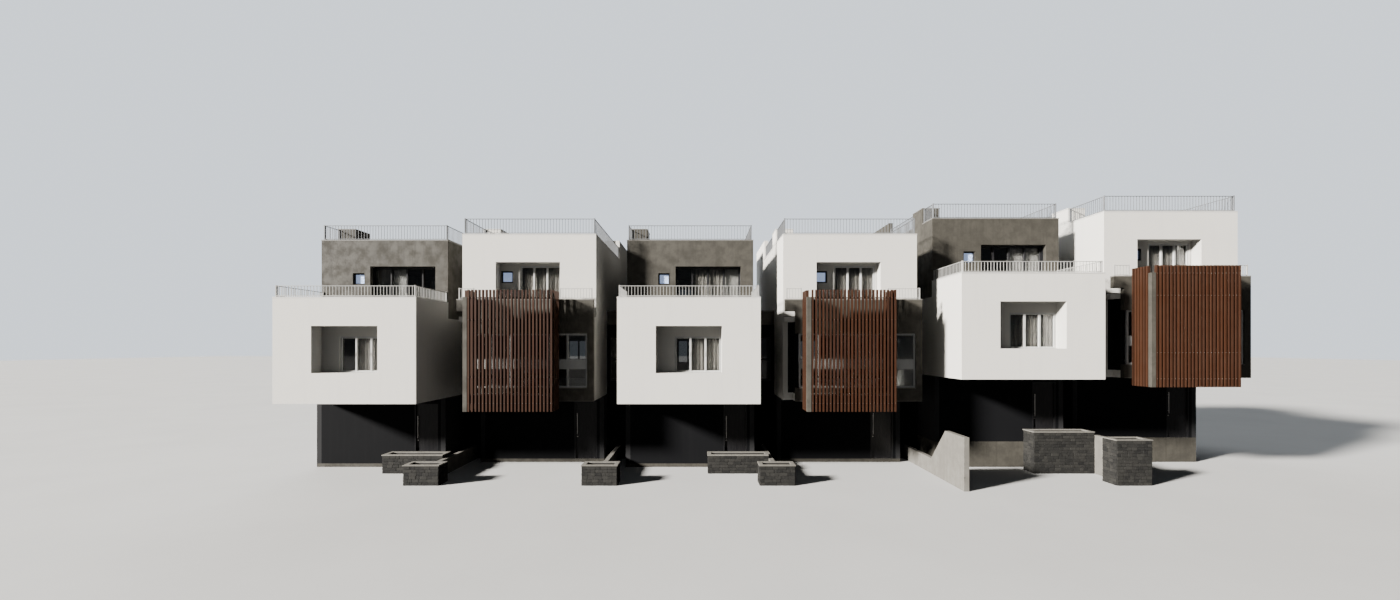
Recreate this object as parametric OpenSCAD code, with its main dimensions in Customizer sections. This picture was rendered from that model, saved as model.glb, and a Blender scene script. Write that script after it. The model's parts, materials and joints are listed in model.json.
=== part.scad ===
/* [Row] */
// Pairs of houses in the row, each pair an A house and a B house
pairs = 3; // [2:1:4]
// Pair from which the row stands one step higher, counted from 0
raised_from = 2; // [1:1:4]
// Height of the step in the ground, and of the plinth under the raised houses
step_up = 940; // [400:10:1200]
// Width of one house
house_w = 5500; // [5300:10:5700]
// Width of the set-back link between two houses
gap_w = 1100; // [900:10:1300]
// Depth from the white fronts to the rear wall
depth = 12000; // [11000:50:13000]

/* [Levels] */
// Top of the ground slab
floor_0 = 150; // [100:10:200]
// Finished level of the first floor
floor_1 = 3250; // [3150:10:3350]
// Finished level of the second floor
floor_2 = 6350; // [6250:10:6450]
// Finished level of the roof deck
deck = 9330; // [9250:10:9400]
// Thickness of the cantilevered first-floor slab
cantilever_t = 300; // [250:10:350]
// Thickness of the second-floor and roof slabs
slab_t = 200; // [150:10:250]
// Top of the terrace parapets above the first floor
parapet_z = 7050; // [7000:10:7150]

/* [Walls] */
// Thickness of the outer walls
wall_t = 200; // [180:5:220]
// Thickness of the linings of the deep window niches
lining_t = 150; // [120:5:160]
// Depth of the window frames
frame_d = 70; // [60:5:80]
// Thickness of the window glass
glass_t = 10; // [8:1:12]
// Set-back of a window frame in a plain wall
frame_in = 60; // [50:5:80]
// Set-back of a window frame in a lining
lining_frame_in = 40; // [30:5:50]

/* [Ground floor] */
// Set-back of the ground-floor front of the A houses behind the white front
a_ground_y = 2400; // [2200:10:2600]
// Set-back of the ground-floor front of the B houses behind the white front
b_ground_y = 3400; // [3200:10:3600]
// Width of the front doorway
door_w = 1000; // [950:10:1050]
// Height of the front doorway above the slab
door_h = 2550; // [2450:10:2600]
// Right edge of the doorway, right of the middle of the house
door_right = 2430; // [2300:10:2480]
// Width of the door frame's posts and head
door_frame_w = 50; // [40:5:60]
// Depth of the door frame in the wall
door_frame_d = 120; // [100:5:140]
// Thickness of the door leaf
leaf_t = 50; // [44:1:56]
// Running gap round the door leaf
leaf_gap = 6; // [5:1:8]
// Length of the door's pull bar
pull_l = 940; // [800:10:1000]
// Height of the foot of the pull bar above the slab
pull_z = 1080; // [980:10:1150]
// Distance of the pull bar from the free edge of the leaf
pull_in = 70; // [60:5:90]
// Distance of the pull bar's middle from the face of the leaf
pull_off = 45; // [40:5:60]
// Radius of the pull bar
pull_r = 15; // [12:1:18]
// Radius of the two stems of the pull bar
stem_r = 9; // [7:1:11]
// Distance of the stems from the ends of the pull bar
stem_in = 120; // [100:10:150]
// Radius of the hinge knuckles
hinge_r = 8; // [7:1:9]
// Length of a hinge
hinge_l = 100; // [90:5:120]
// Width of a hinge flap
flap_w = 35; // [30:1:40]
// Distance of the hinge axis behind the back of the leaf
hinge_off = 12; // [11:1:14]

/* [House A] */
// Width of the deep niche in the white first-floor front
niche_w = 2540; // [2400:10:2600]
// Sill level of the niche
niche_z = 4130; // [4050:10:4200]
// Height of the niche
niche_h = 1810; // [1700:10:1900]
// Depth of the niche behind the white front
niche_d = 600; // [500:10:700]
// Width of the window at the back of the niche
niche_window_w = 1840; // [1700:10:1950]
// Height of the window at the back of the niche
niche_window_h = 1415; // [1350:5:1480]
// Set-back of the concrete second floor behind the white front
a_top_y = 2660; // [2500:10:2800]
// Inset of the concrete second floor at each side
a_top_inset = 20; // [10:1:30]
// Top of the concrete parapet
a_top_z = 9755; // [9700:5:9800]
// Left edge of the terrace doorway from the middle of the house
a_slider_x = -632; // [-700:1:-560]
// Width of the terrace doorway
a_slider_w = 2820; // [2700:10:2900]
// Head of the terrace doorway above the second floor
a_slider_h = 2260; // [2200:10:2300]
// Depth of the dark reveal in front of the terrace doors
a_reveal_d = 420; // [400:5:450]
// Left edge of the small square window from the middle of the house
a_small_x = -1380; // [-1500:10:-1300]
// Sill level of the small square window
a_small_z = 7820; // [7720:10:7900]
// Side of the small square windows
small_w = 500; // [450:10:530]

/* [House B] */
// Set-back of the concrete first-floor front behind the white front of A
b_front_y = 1000; // [900:10:1100]
// Level where the wide first-floor glazing starts
band_low_z = 3490; // [3450:10:3550]
// Level where the wide first-floor glazing ends
band_high_z = 5670; // [5600:10:5750]
// Foot of the broad rail across the wide glazing
transom_z = 4250; // [4150:10:4350]
// Height of the broad rail across the wide glazing
transom_h = 380; // [300:10:420]
// Right edge of the wide glazing from the middle of the house
b_glazing_right = 2490; // [2400:10:2540]
// Width of the open notch at the left corner
notch_w = 414; // [380:2:450]
// Depth of the open notch at the left corner
notch_d = 600; // [500:10:700]
// Height of the parapet beam over the notch
notch_beam_h = 480; // [420:10:520]
// Set-back of the white second floor of B
b_top_y = 1540; // [1480:10:1600]
// Top of the white parapet of B
b_top_z = 9785; // [9740:5:9830]
// Left edge of the recess in the second-floor front
b_recess_x = -1380; // [-1450:10:-1320]
// Width of the recess
b_recess_w = 2640; // [2550:10:2700]
// Height of the recess above the second floor
b_recess_h = 2275; // [2220:5:2330]
// Depth of the recess
b_recess_d = 460; // [420:10:520]
// Left edge of the terrace window at the back of the recess
b_slider_x = -536; // [-600:1:-480]
// Width of the terrace window
b_slider_w = 1720; // [1650:10:1790]
// Height of the terrace window
b_slider_h = 2190; // [2150:10:2210]
// Left edge of the small window beside it
b_small_x = -1330; // [-1370:10:-1250]
// Sill level of the small window
b_small_z = 7820; // [7720:10:7900]

/* [Slat screen] */
// Left edge of the screen from the middle of the house
screen_x = -2070; // [-2150:10:-2000]
// Width of the screen
screen_w = 3450; // [3300:10:3600]
// Foot of the slats
screen_z = 2650; // [2600:10:2750]
// Length of the slats
slat_l = 4680; // [4500:10:4800]
// Spacing of the slats from middle to middle
slat_step = 138; // [120:1:160]
// Width of a slat
slat_w = 60; // [50:1:70]
// Depth of a slat
slat_d = 110; // [90:5:130]
// Thickness of the rails behind the slats
rail_t = 50; // [40:5:60]

/* [Railings] */
// Height of the terrace railings above the parapet
terrace_rail_h = 460; // [420:10:500]
// Height of the roof railings above the parapet
roof_rail_h = 660; // [600:10:700]
// Spacing of the balusters
baluster_step = 123; // [100:1:140]
// Thickness of a baluster
baluster_t = 16; // [14:1:20]
// Side of the railing posts and handrail
post_t = 40; // [34:1:46]
// Distance of the railings from the parapet's outer face
rail_inset = 60; // [50:5:80]

/* [Roof] */
// Width of the shaft at the left edge of each roof
shaft_w = 780; // [700:10:900]
// Set-back of the shaft behind the white front
shaft_y = 3720; // [3600:10:3900]
// Length of the shaft
shaft_l = 1080; // [1000:10:1300]
// Top of the shafts
shaft_z = 10450; // [10400:10:10550]
// Thickness of the shaft walls
shaft_t = 100; // [80:5:120]
// Set-back at which the roof walls step up round the rear court
court_y = 8000; // [7500:50:8500]
// Top of the walls of the rear court
court_z = 10760; // [10650:10:10850]
// Width of the rear shaft on the roofs of B
rear_shaft_w = 590; // [550:10:700]

/* [Links and garden] */
// Set-back of the wall that links two houses
link_y = 4200; // [4000:10:4400]
// Height of the kerb on the link's roof
link_kerb_h = 450; // [400:10:500]
// Width of the window in the link
link_window_w = 800; // [700:10:850]
// Sill level of the window in the link
link_window_z = 3600; // [3500:10:3700]
// Height of the window in the link
link_window_h = 1980; // [1900:10:2100]
// Height of the lower pane of the window in the link
link_pane_h = 920; // [850:10:1000]
// Run of the garden walls in front of the white fronts
garden_run = 1500; // [1300:10:1700]
// Thickness of the garden walls
garden_t = 180; // [150:5:200]
// Height of the garden wall's front above the higher ground
garden_high_h = 980; // [900:10:1050]
// Height of the low garden walls
garden_low_h = 620; // [550:10:700]
// Run of the sloping top of the garden wall behind the white front
garden_slope_run = 1240; // [1100:10:1400]
// Width of the planters between two houses
planter_w = 1300; // [1200:10:1400]
// Depth of the planters
planter_d = 700; // [600:10:800]
// Height of the planters
planter_h = 720; // [650:10:800]
// Thickness of the planters' walls
planter_t = 120; // [100:5:150]
// Depth of the planters' troughs
trough_d = 150; // [100:10:250]
// Left edge of the planters in front of the A houses from the middle of the house
a_planter_x = 760; // [700:10:850]
// Set-back of the planters in front of the A houses
a_planter_y = 1200; // [1100:10:1300]

/* [Hidden] */

pitch = house_w + gap_w;
houses = 2 * pairs;
row_w = houses * house_w + (houses - 1) * gap_w;
half = house_w / 2;
inner = half - wall_t;
rear_in = depth - wall_t;
soffit = floor_1 - cantilever_t;
ceiling_1 = floor_2 - slab_t;
ceiling_2 = deck - slab_t;
a_top_half = half - a_top_inset;
front_y = -(depth - garden_run) / 2;
corner_post_w = slat_d + rail_t;

white = [0.87, 0.86, 0.83];
concrete = [0.50, 0.48, 0.43];
dark_render = [0.25, 0.25, 0.25];
rust = [0.47, 0.25, 0.15];
rail_grey = [0.67, 0.67, 0.65];
frame_white = [0.85, 0.85, 0.83];
frame_dark = [0.12, 0.12, 0.12];
glass_tint = [0.35, 0.42, 0.45];

function is_b(house) = house % 2 == 1;
function house_x(house) = -row_w / 2 + half + house * pitch;
function house_lift(house) = house >= 2 * raised_from ? step_up : 0;
function ground_y(house) = is_b(house) ? b_ground_y : a_ground_y;
function first_y(house) = is_b(house) ? b_front_y : 0;
function top_y(house) = is_b(house) ? b_top_y : a_top_y;
function top_half(house) = is_b(house) ? half : a_top_half;
function top_z(house) = is_b(house) ? b_top_z : a_top_z;

// A block between two opposite corners
module block(low, high) {
    translate(low) cube(high - low);
}

// Places its children at one house, with Y = 0 in the plane of the white fronts
module at_house(house) {
    translate([house_x(house), front_y, house_lift(house)]) children();
}

module at_a_houses() {
    for (pair = [0 : pairs - 1]) at_house(2 * pair) children();
}

module at_b_houses() {
    for (pair = [0 : pairs - 1]) at_house(2 * pair + 1) children();
}

// A pair of side walls with a clear distance between them
module side_walls(outer_half, y_0, z_0, z_1) {
    for (side = [-1, 1])
        translate([side * (outer_half - wall_t / 2) - wall_t / 2, y_0, z_0])
            cube([wall_t, depth - y_0, z_1 - z_0]);
}

// Ground floor
module ground_slabs() color(concrete)
    for (house = [0 : houses - 1]) at_house(house)
        block([-half, ground_y(house), 0], [half, depth, floor_0]);

module plinth_side_walls() color(concrete)
    for (house = [0 : houses - 1]) if (house_lift(house) > 0) at_house(house)
        side_walls(half, ground_y(house), -house_lift(house), 0);

module plinth_cross_walls() color(concrete)
    for (house = [0 : houses - 1]) if (house_lift(house) > 0) at_house(house)
        for (y = [ground_y(house), rear_in])
            block([-inner, y, -house_lift(house)], [inner, y + wall_t, 0]);

module ground_side_walls() color(dark_render)
    for (house = [0 : houses - 1]) at_house(house) side_walls(half, ground_y(house), floor_0, soffit);

module entrance_walls() color(dark_render)
    for (house = [0 : houses - 1]) at_house(house) {
        y = ground_y(house);
        block([-inner, y, floor_0], [door_right - door_w, y + wall_t, soffit]);
        block([door_right, y, floor_0], [inner, y + wall_t, soffit]);
    }

module entrance_lintels() color(dark_render)
    for (house = [0 : houses - 1]) at_house(house)
        block([door_right - door_w, ground_y(house), floor_0 + door_h],
              [door_right, ground_y(house) + wall_t, soffit]);

// A rear wall with one window in the middle
module rear_wall(outer_half, z_0, z_1, window_w, sill, window_h) {
    clear_half = outer_half - wall_t;
    difference() {
        block([-clear_half, rear_in, z_0], [clear_half, depth, z_1]);
        block([-window_w / 2, rear_in - 1, sill], [window_w / 2, depth + 1, sill + window_h]);
    }
}

module ground_rear_walls() color(dark_render)
    for (house = [0 : houses - 1]) at_house(house)
        rear_wall(half, floor_0, soffit, niche_window_w, floor_0 + niche_z - floor_1, niche_window_h);

// First floor
module first_floor_slabs() color(white)
    for (house = [0 : houses - 1]) at_house(house)
        if (is_b(house))
            translate([0, 0, soffit]) linear_extrude(cantilever_t)
                polygon([
                    [-half + notch_w, b_front_y + wall_t], [half, b_front_y + wall_t], [half, depth],
                    [-half, depth], [-half, b_front_y + notch_d], [-half + notch_w, b_front_y + notch_d]
                ]);
        else block([-half, wall_t, soffit], [half, depth, floor_1]);

module a_first_front_walls() color(white) at_a_houses()
    difference() {
        block([-half, 0, soffit], [half, wall_t, parapet_z]);
        block([-niche_w / 2, -1, niche_z], [niche_w / 2, wall_t + 1, niche_z + niche_h]);
    }

module a_window_niches() color(white) at_a_houses()
    difference() {
        block([-niche_w / 2 - lining_t, wall_t, niche_z - lining_t],
              [niche_w / 2 + lining_t, niche_d + lining_t, niche_z + niche_h + lining_t]);
        block([-niche_w / 2, wall_t - 1, niche_z], [niche_w / 2, niche_d, niche_z + niche_h]);
        block([niche_w / 2 - niche_window_w, niche_d - 1, niche_z],
              [niche_w / 2, niche_d + lining_t + 1, niche_z + niche_window_h]);
    }

module first_side_walls() color(white)
    for (house = [0 : houses - 1]) at_house(house)
        if (is_b(house)) {
            block([inner, b_front_y + wall_t, floor_1], [half, depth, ceiling_1]);
            block([-half, b_front_y + notch_d, floor_1], [-inner, depth, ceiling_1]);
        } else side_walls(half, wall_t, floor_1, ceiling_1);

module first_rear_walls() color(white)
    for (house = [0 : houses - 1]) at_house(house)
        rear_wall(half, floor_1, ceiling_1, niche_window_w, niche_z, niche_window_h);

// The concrete front of B: a parapet, a band above and a band below the glazing, and a right pier
module b_first_front_walls() color(concrete) at_b_houses()
    translate([0, b_front_y + wall_t, 0]) rotate([90, 0, 0]) linear_extrude(wall_t)
        polygon([
            [-half + notch_w, soffit], [half, soffit], [half, parapet_z], [-half, parapet_z],
            [-half, parapet_z - notch_beam_h], [-half + notch_w, parapet_z - notch_beam_h],
            [-half + notch_w, band_high_z], [b_glazing_right, band_high_z],
            [b_glazing_right, band_low_z], [-half + notch_w, band_low_z]
        ]);

module b_corner_walls() color(dark_render) at_b_houses()
    translate([0, 0, floor_1]) linear_extrude(ceiling_1 - floor_1)
        polygon([
            [-half + notch_w, b_front_y + wall_t], [-half + notch_w + lining_t, b_front_y + wall_t],
            [-half + notch_w + lining_t, b_front_y + notch_d + lining_t],
            [-inner, b_front_y + notch_d + lining_t], [-inner, b_front_y + notch_d],
            [-half + notch_w, b_front_y + notch_d]
        ]);

// Balcony and slat screen of B
module balcony_slabs() color(concrete) at_b_houses()
    block([screen_x + slat_d + rail_t, slat_d + rail_t, soffit],
          [screen_x + screen_w - slat_d - rail_t, b_front_y, floor_1]);

// A run of upright slats on rails, along X, with its slats in front of its rails
module slat_panel(run) {
    count = floor((run - slat_w) / slat_step);
    first = (run - count * slat_step - slat_w) / 2;
    for (slat = [0 : count])
        translate([first + slat * slat_step, 0, screen_z]) cube([slat_w, slat_d, slat_l]);
    for (z = [soffit, floor_1 + parapet_z - floor_2, ceiling_1, parapet_z - rail_t])
        translate([0, slat_d, z]) cube([run, rail_t, rail_t]);
}

module slat_screen_fronts() color(rust) at_b_houses()
    translate([screen_x + corner_post_w, 0, 0]) slat_panel(screen_w - corner_post_w);

module slat_screen_sides() color(rust) at_b_houses() {
    side_run = b_front_y - slat_d - rail_t;
    translate([screen_x, b_front_y, 0]) rotate([0, 0, -90]) slat_panel(side_run);
    translate([screen_x + screen_w, b_front_y - side_run, 0]) rotate([0, 0, 90])
        slat_panel(side_run);
}

module screen_corner_posts() color(concrete) at_b_houses()
    block([screen_x, 0, screen_z], [screen_x + corner_post_w, corner_post_w, parapet_z]);

// Second floor
module second_floor_slabs() color(white)
    for (house = [0 : houses - 1]) at_house(house)
        block([-half, first_y(house) + wall_t, ceiling_1], [half, depth, floor_2]);

module a_terrace_parapets() color(white) at_a_houses()
    for (side = [-1, 1])
        translate([side * (half - wall_t / 2) - wall_t / 2, wall_t, floor_2])
            cube([wall_t, a_top_y - wall_t, parapet_z - floor_2]);

module a_second_front_walls() color(concrete) at_a_houses()
    difference() {
        block([-a_top_half, a_top_y, floor_2], [a_top_half, a_top_y + wall_t, a_top_z]);
        block([a_slider_x, a_top_y - 1, floor_2 - 1],
              [a_slider_x + a_slider_w, a_top_y + wall_t + 1, floor_2 + a_slider_h]);
        block([a_small_x, a_top_y - 1, a_small_z],
              [a_small_x + small_w, a_top_y + wall_t + 1, a_small_z + small_w]);
    }

// The lining of the terrace doorway: two cheeks and a head behind the wall
module a_door_reveals() color(dark_render) at_a_houses()
    difference() {
        block([a_slider_x - lining_t, a_top_y + wall_t, floor_2],
              [a_slider_x + a_slider_w + lining_t, a_top_y + a_reveal_d, floor_2 + a_slider_h + lining_t]);
        block([a_slider_x, a_top_y + wall_t - 1, floor_2 - 1],
              [a_slider_x + a_slider_w, a_top_y + a_reveal_d + 1, floor_2 + a_slider_h]);
    }

// A pair of second-floor side walls that step up round the rear court
module top_side_walls(outer_half, y_0, z_1) {
    for (side = [-1, 1])
        translate([side * (outer_half - wall_t / 2) - wall_t / 2, 0, 0])
            rotate([90, 0, 90]) linear_extrude(wall_t)
                polygon([
                    [y_0, floor_2], [depth, floor_2], [depth, court_z],
                    [court_y, court_z], [court_y, z_1], [y_0, z_1]
                ]);
}

module a_second_side_walls() color(concrete) at_a_houses()
    top_side_walls(a_top_half, a_top_y + wall_t, a_top_z);

module b_second_front_walls() color(white) at_b_houses()
    difference() {
        block([-half, b_top_y, floor_2], [half, b_top_y + wall_t, b_top_z]);
        block([b_recess_x, b_top_y - 1, floor_2 - 1],
              [b_recess_x + b_recess_w, b_top_y + wall_t + 1, floor_2 + b_recess_h]);
    }

module b_second_recesses() color(white) at_b_houses()
    difference() {
        block([b_recess_x - lining_t, b_top_y + wall_t, floor_2],
              [b_recess_x + b_recess_w + lining_t, b_top_y + b_recess_d + lining_t,
               floor_2 + b_recess_h + lining_t]);
        block([b_recess_x, b_top_y + wall_t - 1, floor_2 - 1],
              [b_recess_x + b_recess_w, b_top_y + b_recess_d, floor_2 + b_recess_h]);
        block([b_slider_x, b_top_y + b_recess_d - 1, floor_2 - 1],
              [b_slider_x + b_slider_w, b_top_y + b_recess_d + lining_t + 1, floor_2 + b_slider_h]);
        block([b_small_x, b_top_y + b_recess_d - 1, b_small_z],
              [b_small_x + small_w, b_top_y + b_recess_d + lining_t + 1, b_small_z + small_w]);
    }

module b_second_side_walls() color(white) at_b_houses()
    top_side_walls(half, b_top_y + wall_t, b_top_z);

module second_rear_walls() color(white)
    for (house = [0 : houses - 1]) at_house(house)
        rear_wall(top_half(house), floor_2, court_z, niche_window_w,
                  floor_2 + niche_z - floor_1, niche_window_h);

// Roofs
module roof_slabs() color(concrete)
    for (house = [0 : houses - 1]) at_house(house) {
        clear_half = top_half(house) - wall_t;
        block([-clear_half, top_y(house) + wall_t, ceiling_2], [clear_half, rear_in, deck]);
    }

// A shaft that stands on the deck and over the left roof wall, with a window in its right side
module roof_shaft(house) {
    x_0 = -top_half(house);
    y_1 = shaft_y + shaft_l;
    difference() {
        union() {
            block([x_0, shaft_y, top_z(house)], [x_0 + shaft_w, y_1, shaft_z]);
            block([x_0 + wall_t, shaft_y, deck], [x_0 + shaft_w, y_1, top_z(house) + 1]);
        }
        block([x_0 + wall_t + shaft_t, shaft_y + shaft_t, deck - 1],
              [x_0 + shaft_w - shaft_t, y_1 - shaft_t, shaft_z - shaft_t]);
        block([x_0 + shaft_w - shaft_t - 1, shaft_y + 2 * shaft_t, top_z(house)],
              [x_0 + shaft_w + 1, y_1 - 2 * shaft_t, shaft_z - 2 * shaft_t]);
    }
}

module a_roof_shafts() color(concrete)
    for (pair = [0 : pairs - 1]) at_house(2 * pair) roof_shaft(2 * pair);

module b_roof_shafts() color(white)
    for (pair = [0 : pairs - 1]) at_house(2 * pair + 1) roof_shaft(2 * pair + 1);

// The shaft inside the rear court of B, open below
module b_rear_shafts() color(concrete) at_b_houses()
    difference() {
        block([inner - rear_shaft_w, court_y, deck], [inner, rear_in, court_z]);
        block([inner - rear_shaft_w + shaft_t, court_y + shaft_t, deck - 1],
              [inner - shaft_t, rear_in - shaft_t, court_z - shaft_t]);
    }

// A straight railing panel along X: end posts, top and bottom rails, and balusters between them
module railing_panel(run, rail_h) {
    bays = round(run / baluster_step);
    step = run / bays;
    for (x = [0, run - post_t]) translate([x, 0, 0]) cube([post_t, post_t, rail_h]);
    for (z = [post_t, rail_h - post_t]) translate([0, 0, z]) cube([run, post_t, post_t / 2]);
    for (bay = [1 : bays - 1])
        translate([bay * step - baluster_t / 2, (post_t - baluster_t) / 2, post_t])
            cube([baluster_t, baluster_t, rail_h - 2 * post_t]);
}

// The panel along the front of a terrace or roof
module railing_front(outer_half, y_0, z_0, rail_h) {
    run = 2 * (outer_half - rail_inset);
    translate([-run / 2, y_0 + rail_inset, z_0]) railing_panel(run, rail_h);
}

// A side panel from y_0 to y_1, on the left for side -1 and on the right for side 1
module railing_side(outer_half, side, y_0, y_1, z_0, rail_h) {
    x = side > 0 ? outer_half - rail_inset : -outer_half + rail_inset + post_t;
    translate([x, y_0, z_0]) rotate([0, 0, 90]) railing_panel(y_1 - y_0, rail_h);
}

// Where a side panel starts behind a front panel
function side_start(y_0) = y_0 + rail_inset + post_t + leaf_gap;

module a_terrace_railings() color(rail_grey) at_a_houses() {
    railing_front(half, 0, parapet_z, terrace_rail_h);
    for (side = [-1, 1])
        railing_side(half, side, side_start(0), a_top_y - leaf_gap, parapet_z, terrace_rail_h);
}

// The railing of B stands left and right of the slat screen
module b_terrace_railings() color(rail_grey) at_b_houses() {
    y = b_front_y + rail_inset;
    left_run = screen_x - leaf_gap - (-half + rail_inset);
    right_x = screen_x + screen_w + leaf_gap;
    translate([-half + rail_inset, y, parapet_z]) railing_panel(left_run, terrace_rail_h);
    translate([right_x, y, parapet_z]) railing_panel(half - rail_inset - right_x, terrace_rail_h);
}

// The right side panel of a roof runs back to the court wall, and the left one stops round the shaft
module roof_railings() color(rail_grey)
    for (house = [0 : houses - 1]) at_house(house) {
        start = side_start(top_y(house));
        end = court_y - leaf_gap;
        shaft_end = shaft_y + shaft_l + leaf_gap;
        railing_front(top_half(house), top_y(house), top_z(house), roof_rail_h);
        railing_side(top_half(house), 1, start, end, top_z(house), roof_rail_h);
        railing_side(top_half(house), -1, start, shaft_y - leaf_gap, top_z(house), roof_rail_h);
        railing_side(top_half(house), -1, shaft_end, end, top_z(house), roof_rail_h);
    }

// Windows, with wide bars, or slim ones where the window is small
wide_bar = 60;
slim_bar = 40;

// A window frame along X from low, with equal panes, and a rail across it where rail_z and rail_h say
module window_frame(low, w, h, panes, bar, rail_z, rail_h) {
    pane_w = (w - bar * (panes + 1)) / panes;
    rows = rail_h > 0 ? [[bar, rail_z - low[2]], [rail_z - low[2] + rail_h, h - bar]] : [[bar, h - bar]];
    translate(low)
        difference() {
            cube([w, frame_d, h]);
            for (pane = [0 : panes - 1]) for (row = rows)
                translate([bar + pane * (pane_w + bar), -1, row[0]])
                    cube([pane_w, frame_d + 2, row[1] - row[0]]);
        }
}

// A window from its lowest corner on. What is drawn is the one glass sheet behind the frame,
// or the frame, if it has the finish asked for
module window(drawn, finish, low, w, h, panes, bar, rail_z = 0, rail_h = 0) {
    if (drawn == "glass") translate(low + [0, frame_d, 0]) cube([w, glass_t, h]);
    if (drawn == finish) window_frame(low, w, h, panes, bar, rail_z, rail_h);
}

module rear_windows(drawn) {
    for (z = [floor_0, floor_1, floor_2])
        window(drawn, "white", [-niche_window_w / 2, rear_in + frame_in, z + niche_z - floor_1],
               niche_window_w, niche_window_h, 3, wide_bar);
}

module a_windows(drawn) {
    window(drawn, "white", [niche_w / 2 - niche_window_w, niche_d + lining_frame_in, niche_z],
           niche_window_w, niche_window_h, 3, wide_bar);
    window(drawn, "dark", [a_slider_x, a_top_y + a_reveal_d - frame_d - glass_t, floor_2],
           a_slider_w, a_slider_h, 4, wide_bar);
    window(drawn, "dark", [a_small_x, a_top_y + frame_in, a_small_z], small_w, small_w, 1, slim_bar);
}

module b_windows(drawn) {
    y = b_top_y + b_recess_d + lining_frame_in;
    glazing_x = -half + notch_w + lining_t;
    window(drawn, "white", [b_slider_x, y, floor_2], b_slider_w, b_slider_h, 3, wide_bar);
    window(drawn, "dark", [b_small_x, y, b_small_z], small_w, small_w, 1, slim_bar);
    window(drawn, "white", [glazing_x, b_front_y + frame_in, band_low_z], b_glazing_right - glazing_x,
           band_high_z - band_low_z, 6, wide_bar, transom_z, transom_h);
}

// The window in the right side of a roof shaft, a little behind its face
module shaft_window(house, drawn) {
    translate([-top_half(house) + shaft_w - slim_bar / 2, shaft_y + 2 * shaft_t, top_z(house)])
        rotate([0, 0, 90])
            window(drawn, "dark", [0, 0, 0], shaft_l - 4 * shaft_t, shaft_z - 2 * shaft_t - top_z(house),
                   1, slim_bar);
}

module house_windows(drawn) {
    for (house = [0 : houses - 1]) at_house(house) {
        rear_windows(drawn);
        shaft_window(house, drawn);
        if (is_b(house)) b_windows(drawn);
        else a_windows(drawn);
    }
    for (gap = [0 : houses - 2]) at_link(gap)
        window(drawn, "dark", [-link_window_w / 2, link_y + frame_in, house_lift(gap) + link_window_z],
               link_window_w, link_window_h, 1, slim_bar,
               house_lift(gap) + link_window_z + link_pane_h, wide_bar);
}

module window_frames() color(frame_white) house_windows("white");

module dark_window_frames() color(frame_dark) house_windows("dark");

module window_glass() color(glass_tint) house_windows("glass");

// Links between the houses: a set-back wall with a tall window, and a slab with a kerb over it
module at_link(gap) {
    translate([house_x(gap) + half + gap_w / 2, front_y, 0]) children();
}

module link_walls() color(dark_render)
    for (gap = [0 : houses - 2]) at_link(gap) {
        window_z = house_lift(gap) + link_window_z;
        difference() {
            block([-gap_w / 2, link_y, 0], [gap_w / 2, link_y + wall_t, house_lift(gap) + ceiling_1]);
            block([-link_window_w / 2, link_y - 1, window_z],
                  [link_window_w / 2, link_y + wall_t + 1, window_z + link_window_h]);
        }
        block([-gap_w / 2, rear_in, 0], [gap_w / 2, depth, house_lift(gap) + ceiling_1]);
    }

module link_slabs() color(concrete)
    for (gap = [0 : houses - 2]) at_link(gap) translate([0, 0, house_lift(gap) + ceiling_1]) {
        block([-gap_w / 2, link_y, 0], [gap_w / 2, depth, slab_t]);
        block([-gap_w / 2, link_y, slab_t - 1], [gap_w / 2, link_y + lining_t, slab_t + link_kerb_h]);
    }

// Garden walls at the links: low between level grounds, and high in front where the ground steps up
module garden_walls() color(concrete)
    for (gap = [0 : houses - 2]) at_link(gap) {
        low_z = house_lift(gap) + garden_low_h;
        high_z = house_lift(gap + 1) + garden_high_h;
        steps = house_lift(gap + 1) > house_lift(gap);
        translate([-garden_t / 2, 0, 0]) rotate([90, 0, 90]) linear_extrude(garden_t)
            polygon(steps ? [
                [-garden_run, 0], [link_y, 0], [link_y, low_z], [garden_slope_run, low_z], [0, high_z],
                [-garden_run, high_z]
            ] : [[0, 0], [link_y, 0], [link_y, low_z], [0, low_z]]);
    }

// A planter with a shallow trough, standing on foot_z
module planter(w, d, foot_z, top) {
    difference() {
        block([0, 0, foot_z], [w, d, top]);
        block([planter_t, planter_t, top - trough_d], [w - planter_t, d - planter_t, top + 1]);
    }
}

// Planters in front of the low garden walls, and before the front doors of the A houses
module planters() color(concrete) {
    for (gap = [0 : houses - 2]) if (house_lift(gap + 1) == house_lift(gap))
        at_link(gap) translate([-planter_w / 2, -planter_d, 0])
            planter(planter_w, planter_d, 0, house_lift(gap) + planter_h);
    for (pair = [0 : pairs - 1]) at_house(2 * pair) translate([a_planter_x, a_planter_y, 0])
        planter(half + gap_w / 2 - garden_t / 2 - a_planter_x, planter_d, -house_lift(2 * pair), planter_h);
}

// Front doors
door_z = floor_0;
hinge_x = door_right - door_frame_w - leaf_gap / 2;
leaf_w = door_w - 2 * door_frame_w - 2 * leaf_gap;
leaf_h = door_h - door_frame_w - 2 * leaf_gap;
function leaf_back(house) = ground_y(house) + door_frame_d;

module door_frames() color(frame_dark)
    for (house = [0 : houses - 1]) at_house(house) {
        y = ground_y(house);
        difference() {
            block([door_right - door_w, y, door_z], [door_right, y + door_frame_d, door_z + door_h]);
            block([door_right - door_w + door_frame_w, y - 1, door_z - 1],
                  [door_right - door_frame_w, y + door_frame_d + 1, door_z + door_h - door_frame_w]);
        }
        for (z = hinge_levels()) for (end = [-1, 1])
            translate([hinge_x, leaf_back(house) + hinge_off, z + end * (hinge_l / 3 + 0.3)])
                hinge_knuckle(hinge_l / 3, 1);
    }

function hinge_levels() = [for (share = [0.12, 0.5, 0.88]) door_z + share * leaf_h];

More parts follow.
